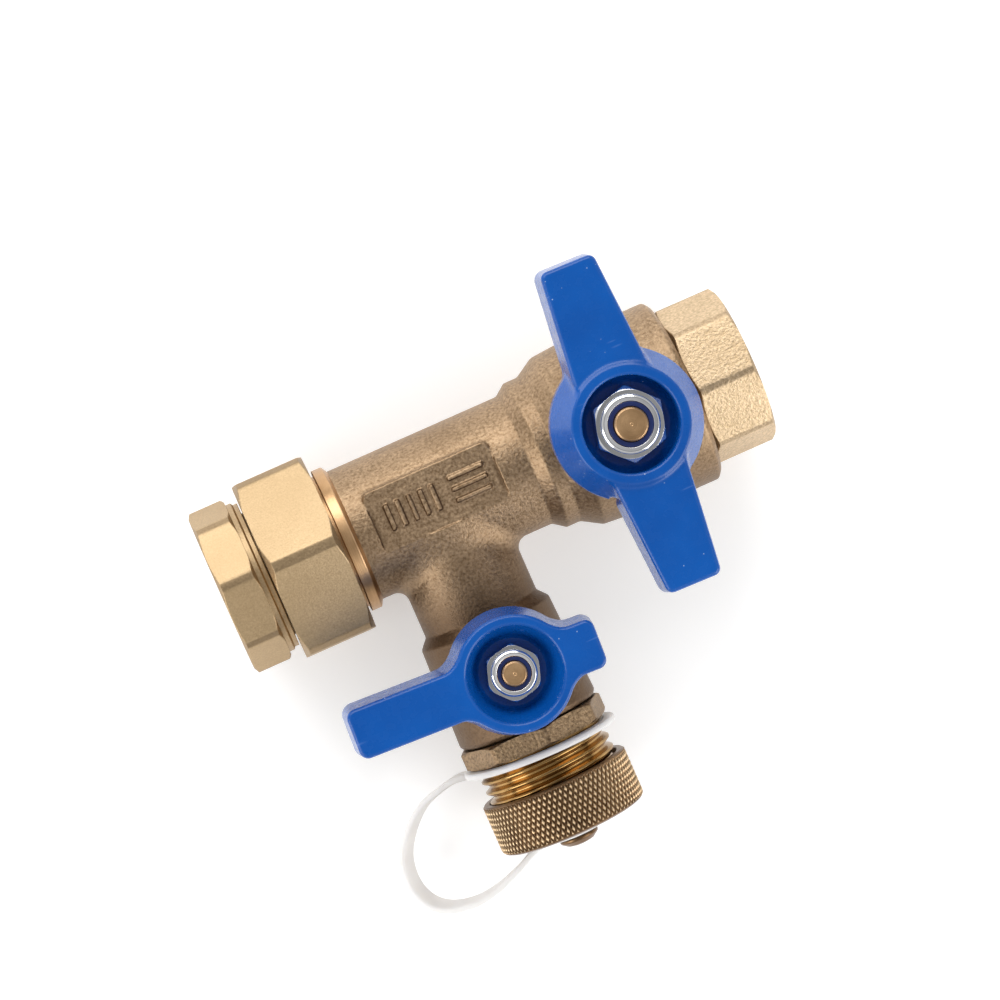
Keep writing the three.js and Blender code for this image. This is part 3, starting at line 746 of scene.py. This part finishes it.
def add_strap():
    flat = strap_centreline()
    out = np.array([-math.cos(STRAP_TILT), 0, -math.sin(STRAP_TILT)])
    down = np.array([0, -1.0, 0])
    across = np.cross(out, down)
    centres = flat[:, :1] * out + flat[:, 1:] * down
    way = np.gradient(centres, axis=0)
    way /= np.linalg.norm(way, axis=1, keepdims=True)
    inward = np.cross(np.broadcast_to(across, way.shape), way)
    along = np.linspace(0, 1, len(centres))
    twist = STRAP_TWIST * np.sin(math.pi * along) ** 1.5
    wide = np.cos(twist)[:, None] * across + np.sin(twist)[:, None] * inward
    thin = np.cross(way, wide)
    ring_points = []
    for corner in range(4):
        turn_to = math.pi / 2 * corner
        sign_w = 1 if corner in (0, 3) else -1
        sign_t = 1 if corner in (0, 1) else -1
        for k in range(5):
            a = turn_to + math.pi / 2 * k / 4
            ring_points.append(
                [
                    sign_w * (STRAP_WIDTH / 2 - STRAP_EDGE_R) + STRAP_EDGE_R * math.cos(a),
                    sign_t * (STRAP_THICK / 2 - STRAP_EDGE_R) + STRAP_EDGE_R * math.sin(a),
                ]
            )
    ring_points = np.array(ring_points)
    narrow = 1 - 0.25 * np.clip(1 - along / 0.05, 0, 1)
    points = (
        centres[:, None, :]
        + (ring_points[None, :, :1] * narrow[:, None, None]) * wide[:, None, :]
        + ring_points[None, :, 1:] * thin[:, None, :]
    ).reshape(-1, 3)
    count = len(ring_points)
    row = np.arange(len(centres) - 1)[:, None] * count
    k = np.arange(count)[None, :]
    k2 = (k + 1) % count
    quads = np.stack([row + k, row + k2, row + count + k2, row + count + k], axis=2)
    last = (len(centres) - 1) * count
    ends = [np.arange(count)[::-1][None, :], last + np.arange(count)[None, :]]
    strap = add_piece(
        "strap",
        points,
        [quads.reshape(-1, 4), *ends],
        None,
        ["strap_band"],
        "strap_plastic",
    )
    path = centres * MM + TEE
    tuple(path[0])
    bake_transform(strap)


add_strap()


def leaning(p):
    """The neck ring sits a little askew on the branch."""
    lean = math.radians(1.2)
    return np.stack([p[:, 0], p[:, 1], p[:, 2] + p[:, 0] * math.sin(lean)], axis=1)


def flat_ring(inner, outer, start, end, fillet=0.3):
    return outline([(start, inner), (start, outer), (end, outer), (end, inner)], fillet)


turned_piece(
    "neck_ring",
    turn(flat_ring(13.25, 15.9, 52.05, 53.35, 0.55), 128),
    [leaning, along_branch],
    "valve",
    ["strap_neck_ring"],
    "strap_plastic",
)
turned_piece(
    "eyelet",
    turn(flat_ring(2.25, 5.4, 70.1, 71.4, 0.5), 64),
    [along_branch],
    "strap_end",
    ["strap_eyelet"],
    "strap_plastic",
)

# ---------------------------------------------------------------- cast body

BODY_START = -18
PAD_TOP = 12.7
# plain bars in place of the photo's casting marks, as (centre, half size) on the panel
PANEL_BARS = [
    *[((x, 1.1), (0.5, 2.7)) for x in (-9.2, -6.8, -4.4, -2.0, 0.4)],
    *[((7.6, y), (3.8, 0.5)) for y in (3.4, 1.1, -1.2)],
]


def stem_bore(wide, narrow, low, high):
    """The hole round a stem, which a lip narrows between two levels."""
    corners = [(low, wide), (low, narrow), (high, narrow), (high, wide)]
    return revolved([(0, wide, 0), *corners, (40, wide, 0)], 0)


def body_field():
    run_outside = revolved(
        [
            (BODY_START, 13.6, 0), (19.8, 13.6, 0.6), (22.2, 15.4, 0.7), (25.1, 15.4, 0.8),
            (29.1, 17.8, 1.2), (34, 18.2, 1.0), (44, 18.85, 1.0), (53.4, 18.85, 0.8),
            (54.3, 17.6, 0.3), (54.3, 14, 0.1),
        ],
        0.5,
    )
    branch_outside = revolved(
        [(0, 11.85, 0), (24.1, 11.85, 0.7), (26.1, 13.6, 0.8), (46.5, 14.4, 0.5), (47.3, 13.9)],
        0.3,
    )
    run_inside = revolved(
        [(-40, 9, 0), (26.7, 9), (26.7, 13), (31.9, 13), (31.9, 14.9), (60, 14.9, 0)], 0.1
    )
    branch_inside = revolved(
        [(0, 6.5, 0), (26.1, 6.5), (26.1, 9.2), (30.2, 9.2), (30.2, 11), (60, 11, 0)], 0.1
    )
    main_bore = stem_bore(6.3, 4.3, 16, 18.4)
    drain_bore = stem_bore(4.9, 3.3, 12, 12.9)

    def field(x, y, z):
        run_r = np.hypot(y, z)
        branch_r = np.hypot(x, z)
        down = -y
        tee = round_union(run_outside(x, run_r), branch_outside(down, branch_r), 2.4)
        plan = plan_box(x, y, (0.5, 1.2), (13.15, 6.15), 1.3)
        pad = upright(plan, z, 0, PAD_TOP, 0.35)
        tee = round_union(tee, pad, 0.45)
        tee = remove(tee, upright(plan, z, PAD_TOP, 20, 0.2), 0.3)
        marks = plan_box(x, y, *PANEL_BARS[0], 0.3)
        for centre, half in PANEL_BARS[1:]:
            marks = np.minimum(marks, plan_box(x, y, centre, half, 0.3))
        tee = round_union(tee, upright(marks, z, 12, 13.15, 0.22), 0.15)
        main_r = np.hypot(x - MAIN_STEM_X, y)
        drain_r = np.hypot(x, y + DRAIN_STEM_B)
        main_boss = upright(main_r - 8.8, z, 0, 22.5, 0.4)
        drain_boss = upright(drain_r - 7, z, 0, 15.6, 0.4)
        tee = round_union(tee, main_boss, 1.8)
        tee = round_union(tee, drain_boss, 1.4)
        main_lug = plan_box(x, y, (MAIN_STEM_X + 11.4, 0), (1.5, 1.5), 0.4)
        drain_lug = plan_box(x, y, (0, -DRAIN_STEM_B - 9), (1.5, 1.5), 0.4)
        tee = round_union(tee, upright(main_lug, z, 14, 25.85, 0.3), 0.8)
        tee = round_union(tee, upright(drain_lug, z, 11, 17.85, 0.3), 0.8)
        tee = remove(tee, run_inside(x, run_r), 0.2)
        tee = remove(tee, branch_inside(down, branch_r), 0.2)
        tee = remove(tee, main_bore(z, main_r), 0.1)
        tee = remove(tee, drain_bore(z, drain_r), 0.1)
        return np.maximum(tee, BODY_START - x)

    return field


moulded_piece(
    "cast_body",
    body_field(),
    (-18.6, -48.2, -19.6),
    (55.2, 19.6, 26.8),
    0.45,
    "valve",
    ["valve_body"],
    "cast_brass",
)

COLLAR = outline(
    [
        (-28.3, 9.0), (-28.3, 13.7), (-27.5, 14.7), (-20.9, 14.7), (-20.4, 13.8),
        (-19.3, 13.8), (-19.3, 14.9), (-17.2, 14.9, 0.35), (-16.4, 13.5), (-18.0, 13.2),
        (-18.0, 9.0),
    ],
    0.12,
    0.16,
)
turned_piece(
    "union_spigot",
    turn(COLLAR, 160, threads=[(-28.2, -20.9, 14, 14.75, PIPE_PITCH, 0.85, 0)]),
    [along_run],
    "valve",
    ["valve_body"],
    "cast_brass",
    "stem_brass",
)

# ---------------------------------------------------------------- end fittings and the union

OCTAGON_COUNT = 480
# the taper pipe threads in both ends, as (smallest radius, largest radius, pitch, depth, crest)
PIPE_THREAD = (11.6, 12.7, PIPE_PITCH, -0.85, 0)


def run_end_fitting():
    line = outline(
        [
            (46.3, 13.0), (46.3, 14.6), (54.6, 14.6), (54.6, 15.2, 0.1), (55.2, 16.2, 0.15),
            (66.5, 16.2, 0.15), (67.1, 15.3, 0.15), (67.1, 13.4), (66.3, 12.6),
            (54.6, 11.7), (54.6, 8.8), (50.8, 8.8), (50.8, 13.0),
        ],
        0.15,
        0.3,
    )
    return turn(
        line,
        count=OCTAGON_COUNT,
        prisms=[(54.55, 67.2, 8, 30.4, 3.3)],
        threads=[(54.8, 66.9, *PIPE_THREAD)],
    )


def union_tailpiece():
    line = outline(
        [
            (-44.9, 13.4), (-44.9, 15.8, 0.15), (-44.35, 16.9, 0.15), (-37.75, 16.9, 0.15),
            (-37.2, 16.2, 0.1), (-37.2, 15.6, 0.1), (-36.2, 15.6), (-35.9, 15.1), (-35.0, 15.1),
            (-35.0, 12.9), (-32.6, 12.9), (-32.6, 12.1), (-31.3, 12.1), (-31.3, 12.9),
            (-30.5, 12.9), (-30.5, 9.0), (-33.6, 9.0), (-33.6, 11.7), (-44.1, 12.6),
        ],
        0.15,
        0.3,
    )
    return turn(
        line,
        count=OCTAGON_COUNT,
        prisms=[(-45, -37.15, 8, 31.8, -7)],
        threads=[(-44.7, -33.8, *PIPE_THREAD)],
    )


def union_nut():
    line = outline(
        [
            (-34.7, 13.2), (-34.7, 18.6, 0.2), (-33.8, 20.2, 0.25), (-20.9, 20.2, 0.25),
            (-20.0, 18.6, 0.2), (-20.0, 15.6), (-20.6, 14.95), (-32.8, 14.95), (-32.8, 13.2),
        ],
        0.15,
        0.3,
    )
    return turn(
        line,
        count=576,
        prisms=[(-34.8, -19.9, 6, 36, -5.2)],
        threads=[(-32.2, -20.4, 14.8, 15.1, PIPE_PITCH, -0.8, 0)],
    )


# the run end's facets take the lighter copy of the cast brass: painted light
turned_piece(
    "run_end",
    run_end_fitting(),
    [along_run],
    "valve",
    ["run_end_fitting"],
    "cast_brass",
    "lit_brass",
)
turned_piece(
    "tailpiece_end",
    union_tailpiece(),
    [along_run],
    "tailpiece",
    ["union_tailpiece"],
    "machined_brass",
    "satin_brass",
)
turned_piece(
    "nut_of_union",
    union_nut(),
    [along_run],
    "nut",
    ["union_nut"],
    "machined_brass",
    "satin_brass",
)

# ---------------------------------------------------------------- hose outlet and cap


def outlet_head():
    line = outline(
        [
            (40.2, 9.3), (40.2, 10.7), (47.6, 10.7), (47.6, 14.2, 0.2), (48.1, 15.1, 0.3),
            (51.1, 15.1, 0.3), (51.6, 14.4, 0.2), (51.6, 12.5), (50.6, 12.5), (50.6, 6.5),
            (43.9, 6.5), (43.9, 9.3),
        ],
        0.15,
        0.25,
    )
    return turn(line, count=384, prisms=[(47.55, 51.65, 8, 28.1, 39)])


def outlet_thread():
    line = outline(
        [
            (50.7, 9.0), (50.7, 12.4), (51.5, 12.4), (51.7, 12.9), (53.4, 12.9, 0.1),
            (53.7, 13.4, 0.1), (65.6, 13.4, 0.1), (66.4, 12.5), (66.4, 9.3), (65.9, 9.0),
        ],
        0.15,
        0.16,
    )
    return turn(
        line, count=192, threads=[(52.6, 67.0, 13.2, 13.5, HOSE_PITCH, 1.15, 54.3)]
    )


def hose_cap():
    line = outline(
        [
            (59.2, 13.6, 0.2), (59.2, 14.7, 0.25), (59.6, 15.15, 0.25), (68.9, 15.15, 0.5),
            (69.5, 14.6, 0.4), (69.8, 13.9, 0.3), (69.8, 2.2), (67.9, 2.2), (67.9, 13.6),
        ],
        0.2,
        0.16,
    )
    return turn(
        line,
        count=1008,
        threads=[(59.8, 67.9, 13.5, 13.7, HOSE_PITCH, -0.7, 54.3)],
        knurl=(59.45, 69.4, 14.8, 84, 2.2, 0.5),
    )


# the outlet octagon takes the darker copy of the cast brass: painted shade and dirt
turned_piece(
    "outlet_octagon",
    outlet_head(),
    [along_branch],
    "valve",
    ["hose_outlet"],
    "cast_brass",
    "shade_and_dirt_brass",
)
turned_piece(
    "outlet_screw",
    outlet_thread(),
    [along_branch],
    "valve",
    ["hose_outlet"],
    "machined_brass",
)
turned_piece("cap", hose_cap(), [along_branch], "cap", ["hose_cap"], "cap_brass")
turned_piece(
    "stud",
    turn(
        outline(
            [
                (66.8, 3.3), (67.6, 3.3), (67.6, 1.9), (71.7, 1.9), (71.7, 4.0, 0.2),
                (72.3, 4.0, 0.5), (73.2, 2.8, 0.6), (73.5, 1.6, 0.5),
            ],
            0.1,
            closed=False,
        ),
        64,
        solid=True,
    ),
    [along_branch],
    "cap",
    ["cap_stud"],
    "cap_brass",
)

# ---------------------------------------------------------------- balls, stems and nuts


def ball(radius, port):
    """A ball with a straight port through it along its axis."""
    reach = math.sqrt(radius**2 - port**2)
    tilt = math.acos(reach / radius)
    angles = np.linspace(tilt, math.pi - tilt, 48)
    arc = [(-radius * math.cos(a), radius * math.sin(a)) for a in angles]
    return turn(np.array(arc), 96)


def stem(levels, thread_r, tip_r, neck, top):
    """A stem from its tang up: levels of (place, radius), then its neck and its turned tip."""
    line = outline(
        [
            *levels, (neck - 0.25, thread_r, 0.1), (neck, tip_r, 0.1), (top - 0.3, tip_r, 0.15),
            (top, tip_r - 0.3, 0.15), (top, 0.35, 0.1), (top - 0.06, 0.2, 0.05),
        ],
        0.1,
        0.2,
        closed=False,
    )
    return turn(line, 96, solid=True)


def lock_nut(flats, turn_deg, low, high, collar_r, collar_top, bore_r, insert_r):
    """A hexagon from low to high with a round collar above it, which holds the nylon ring."""
    corner = flats * 0.57
    line = outline(
        [
            (low, bore_r), (low, corner - 0.9, 0.15), (low + 0.6, corner, 0.15),
            (high - 0.5, corner, 0.2), (high - 0.05, collar_r + 0.8, 0.2),
            (high, collar_r, 0.04), (collar_top - 0.35, collar_r, 0.3),
            (collar_top, collar_r - 0.5, 0.35), (collar_top - 0.2, insert_r, 0.2),
            (high + 0.4, insert_r), (high + 0.2, bore_r),
        ],
        0.1,
        0.15,
    )
    return turn(line, 288, prisms=[(low - 0.1, high, 6, flats, turn_deg)])


def packing_nut(flats, low, high, bore_r, spigot_r, spigot_low):
    """A hexagon from low to high on a spigot that reaches down into the body."""
    line = outline(
        [
            (spigot_low, bore_r), (spigot_low, spigot_r), (low, spigot_r),
            (low, flats * 0.5, 0.1), (low + 0.3, flats * 0.56, 0.1),
            (high - 0.3, flats * 0.56, 0.1), (high, flats * 0.5, 0.1), (high, bore_r),
        ],
        0.1,
        0.25,
    )
    return turn(line, 192, prisms=[(low + 0.01, high + 0.1, 6, flats, 0)])


MAIN_LINE = [on_main_stem]
DRAIN_LINE = [on_drain_stem]
turned_piece(
    "ball_main",
    ball(13.5, 8.5),
    [along_branch, on_main_stem],
    "main_control",
    ["main_ball"],
    "steel",
)
turned_piece(
    "ball_drain",
    ball(9.6, 6.2),
    [along_run, on_drain_stem],
    "drain_control",
    ["drain_ball"],
    "steel",
)
turned_piece(
    "stem_main",
    stem(
        [(11.2, 2.2), (13.8, 2.2), (13.8, 6), (15, 6), (15, 4), (29.1, 4), (29.1, 3.9)],
        3.9, 3.25, 34.5, 36,
    ),
    MAIN_LINE,
    "main_control",
    ["main_stem"],
    "machined_brass",
    "stem_brass",
)
turned_piece(
    "stem_drain",
    stem(
        [(8.2, 1.8), (9.9, 1.8), (9.9, 4.6), (11.1, 4.6), (11.1, 3), (20.1, 3), (20.1, 2.9)],
        2.9, 2.4, 24.5, 26,
    ),
    DRAIN_LINE,
    "drain_control",
    ["drain_stem"],
    "machined_brass",
    "stem_brass",
)
turned_piece(
    "nut_main",
    lock_nut(13, 15, 29.3, 33.6, 5.7, 35.0, 4.1, 4.35),
    MAIN_LINE,
    "main_control",
    ["main_handle_nut"],
    "steel",
)
turned_piece(
    "nut_drain",
    lock_nut(10, 12, 20.3, 23.6, 4.5, 25.2, 3.1, 3.3),
    DRAIN_LINE,
    "drain_control",
    ["drain_handle_nut"],
    "steel",
)
turned_piece(
    "insert_main",
    turn(flat_ring(3.4, 4.3, 34.6, 34.95, 0.12), 96),
    MAIN_LINE,
    "main_control",
    ["main_nut_insert"],
    "nylon",
)
turned_piece(
    "insert_drain",
    turn(flat_ring(2.5, 3.25, 24.6, 24.95, 0.12), 96),
    DRAIN_LINE,
    "drain_control",
    ["drain_nut_insert"],
    "nylon",
)
turned_piece(
    "gland_main",
    packing_nut(14, 22.8, 25.6, 4.3, 6, 20.7),
    MAIN_LINE,
    "valve",
    ["main_packing_nut"],
    "machined_brass",
)
turned_piece(
    "gland_drain",
    packing_nut(11, 15.9, 17.6, 3.3, 4.6, 14.5),
    DRAIN_LINE,
    "valve",
    ["drain_packing_nut"],
    "machined_brass",
)

# ---------------------------------------------------------------- handles


def sector(u, v, inner, outer, start_deg, end_deg):
    """A slice of a ring between two angles, as a plan shape."""
    half = math.radians(end_deg - start_deg) / 2
    mid = math.radians(end_deg + start_deg) / 2
    a, b = u * math.cos(mid) + v * math.sin(mid), v * math.cos(mid) - u * math.sin(mid)
    radius = np.hypot(a, b)
    off = np.abs(np.arctan2(b, a)) - half
    return np.maximum(np.maximum(radius - outer, inner - radius), off * radius)


MAIN_SKIRT_Z = 25
DRAIN_SKIRT_Z = 17
# cuts from below start well under the skirts
BELOW_MAIN = 15
BELOW_DRAIN = 5
NOTCH_AT_DEG = 238


def main_handle_field(u, v, z):
    """A butterfly handle: two wings and a cupped hub, hollow underneath, with a stop slot."""
    radius = np.hypot(u, v)
    wing = polygon_distance(u, v, [
        (6.7, 0), (4.05, 31.0), (-4.05, 31.0), (-6.7, 0), (-4.05, -31.0), (4.05, -31.0)
    ]) - 1.5
    wing = wing - 0.5 * np.clip((34.7 - z) / 9.7, 0, 1)
    wings = upright(wing, z, MAIN_SKIRT_Z, 35.3, 0.9)
    cone = 14.7 - np.clip((z - 28.7) / 6.8, 0, 1) * 3.2
    hub = upright((radius - cone) * 0.93, z, MAIN_SKIRT_Z, 36, 0.6)
    shape = round_union(wings, hub, 0.9)
    shape = remove(shape, upright(radius - 9.3, z, 29, 45, 1.9), 0.7)
    shape = remove(shape, upright(radius - 9, z, BELOW_MAIN, 26.2, 0.3), 0.3)
    shape = remove(shape, radius - 4.2, 0.1)
    pocket = polygon_distance(u, np.abs(v), [
        (4.4, 16.3), (3.6, 29.8), (-3.6, 29.8), (-4.4, 16.3)
    ]) - 0.5
    shape = remove(shape, upright(pocket, z, BELOW_MAIN, 32.3, 0.8), 0.3)
    slot = sector(u, v, 8.5, 15.7, -100.1, 11.6)
    shape = remove(shape, upright(slot, z, BELOW_MAIN, 26.6, 0.2), 0.2)
    turn_by = math.radians(NOTCH_AT_DEG)
    outward = u * math.cos(turn_by) + v * math.sin(turn_by)
    sideways = v * math.cos(turn_by) - u * math.sin(turn_by)
    notch = plan_box(outward, sideways, (15.5, 0), (1.3, 0.8), 0.3)
    return remove(shape, upright(notch, z, BELOW_MAIN, 33.7, 0.3), 0.25)


def drain_handle_field(u, v, z):
    """A lever with a long and a short arm and a deep cup, hollow underneath."""
    radius = np.hypot(u, v)
    arms = plan_box(u, v, (-7.8, 0), (25.1, 4.9), 1.8)
    arms = arms - 0.6 * np.clip((27 - z) / 10, 0, 1)
    cone = 12.5 - np.clip((z - DRAIN_SKIRT_Z) / 10, 0, 1) * 1.1
    plan = round_union(arms, radius - cone, 2.2)
    shape = upright(plan, z, DRAIN_SKIRT_Z, 27.5, 0.8)
    cup_r = 7 + (z - 20) / 7.5 * 2.5
    cup = round_common((radius - cup_r) * 0.95, 20 - z, 0.8)
    shape = remove(shape, cup, 0.5)
    shape = remove(shape, upright(radius - 7.2, z, BELOW_DRAIN, 18.2, 0.3), 0.3)
    shape = remove(shape, radius - 3.2, 0.1)
    pocket = plan_box(u, v, (-22.3, 0), (8.8, 3.1), 0.6)
    shape = remove(shape, upright(pocket, z, BELOW_DRAIN, 24.5, 0.7), 0.3)
    slot = sector(u, v, 6.7, 13.5, -192.8, -74.4)
    return remove(shape, upright(slot, z, BELOW_DRAIN, 18.6, 0.2), 0.2)


def set_at(degrees):
    """A turn of points about the stem, as a step for moulded_piece's way."""
    turn_by = math.radians(degrees)
    matrix = np.array([
        [math.cos(turn_by), math.sin(turn_by), 0],
        [-math.sin(turn_by), math.cos(turn_by), 0],
        [0, 0, 1],
    ])
    return lambda p: p @ matrix


moulded_piece(
    "handle_main",
    main_handle_field,
    (-16, -34, 24.4),
    (16, 34, 36.8),
    0.36,
    "main_control",
    ["main_handle"],
    "handle_paint",
    [set_at(MAIN_SET_DEG), on_main_stem],
)
moulded_piece(
    "handle_drain",
    drain_handle_field,
    (-34.4, -13.8, 16.4),
    (18.8, 13.8, 28.2),
    0.33,
    "drain_control",
    ["drain_handle"],
    "handle_paint",
    [set_at(DRAIN_SET_DEG), on_drain_stem],
)

# ---------------------------------------------------------------- CAD pieces that stay

KEPT = {
    "ptfe": [
        "main_seat_inner", "main_seat_outer", "main_thrust_washer", "main_stem_packing",
        "drain_seat_inner", "drain_seat_outer", "drain_thrust_washer", "drain_stem_packing",
    ],
    "rubber": ["union_gasket", "hose_cap_washer"],
    "steel": ["union_retaining_ring"],
}
for look_name, nodes in KEPT.items():
    for node in nodes:
        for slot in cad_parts[node].material_slots:
            slot.material = LOOKS[look_name]

# ---------------------------------------------------------------- floor and light


# these are in metres
FLOOR_HALF = 1.5
FLOOR_Z = -0.0002


def add_floor():
    half = FLOOR_HALF
    corners = [(-half, -half), (half, -half), (half, half), (-half, half)]
    mesh = bpy.data.meshes.new("floor")
    mesh.from_pydata([(x, y, FLOOR_Z) for x, y in corners], [], [(0, 1, 2, 3)])
    look = Look("floor_look", Roughness=0.9, Emission_Strength=0.25)
    tint = look.mix(look.noise(0.01), rgb(0.95, 0.95, 0.95), rgb(0.97, 0.97, 0.97))
    look.colour(tint)
    look.feed(look.shader.inputs["Emission Color"], tint)
    mesh.materials.append(look.material)
    floor = bpy.data.objects.new("floor", mesh)
    bpy.context.scene.collection.objects.link(floor)


# name, place, point aimed at, width, height, watts
SOFTBOXES = [
    ("key", (0.0, 0.6, 0.42), (0, 0, 0.02), 0.9, 0.4, 3.8),
    ("side", (0.3, -0.38, 0.28), (0.02, 0, 0.02), 0.4, 0.35, 1.6),
    ("low", (-0.5, -0.1, 0.25), (0, 0, 0.02), 0.4, 0.3, 1.4),
]


def add_softbox(name, place, aim, width, height, watts):
    data = bpy.data.lights.new(name, "AREA")
    data.shape = "RECTANGLE"
    data.size, data.size_y = width, height
    data.energy = watts
    light = bpy.data.objects.new(name, data)
    direction = Vector(aim) - Vector(place)
    light.rotation_euler = direction.to_track_quat("-Z", "Y").to_euler()
    light.location = place
    bpy.context.scene.collection.objects.link(light)


# brightness of the studio by height: 0 at the horizon, 1 overhead
SKY = [(0.0, 0.25), (0.35, 0.52), (0.72, 0.78), (0.9, 0.42), (1.0, 0.24)]


def add_sky():
    world = bpy.data.worlds.new("studio")
    world.use_nodes = True
    bpy.context.scene.world = world
    tree = world.node_tree
    background = tree.nodes["Background"]
    place = tree.nodes.new("ShaderNodeTexCoord")
    split = tree.nodes.new("ShaderNodeSeparateXYZ")
    ramp = tree.nodes.new("ShaderNodeValToRGB")
    tree.links.new(place.outputs["Generated"], split.inputs[0])
    tree.links.new(split.outputs["Z"], ramp.inputs[0])
    tree.links.new(ramp.outputs[0], background.inputs["Color"])
    stops = ramp.color_ramp.elements
    for stop, (height, shade) in zip(stops, (SKY[0], SKY[-1])):
        stop.position, stop.color = height, rgb(shade, shade, shade)
    for height, shade in SKY[1:-1]:
        stops.new(height).color = rgb(shade, shade, shade)
    background.inputs["Strength"].default_value = 1.0


add_floor()
add_sky()
for softbox in SOFTBOXES:
    add_softbox(*softbox)
bpy.context.scene.view_settings.view_transform = "Standard"
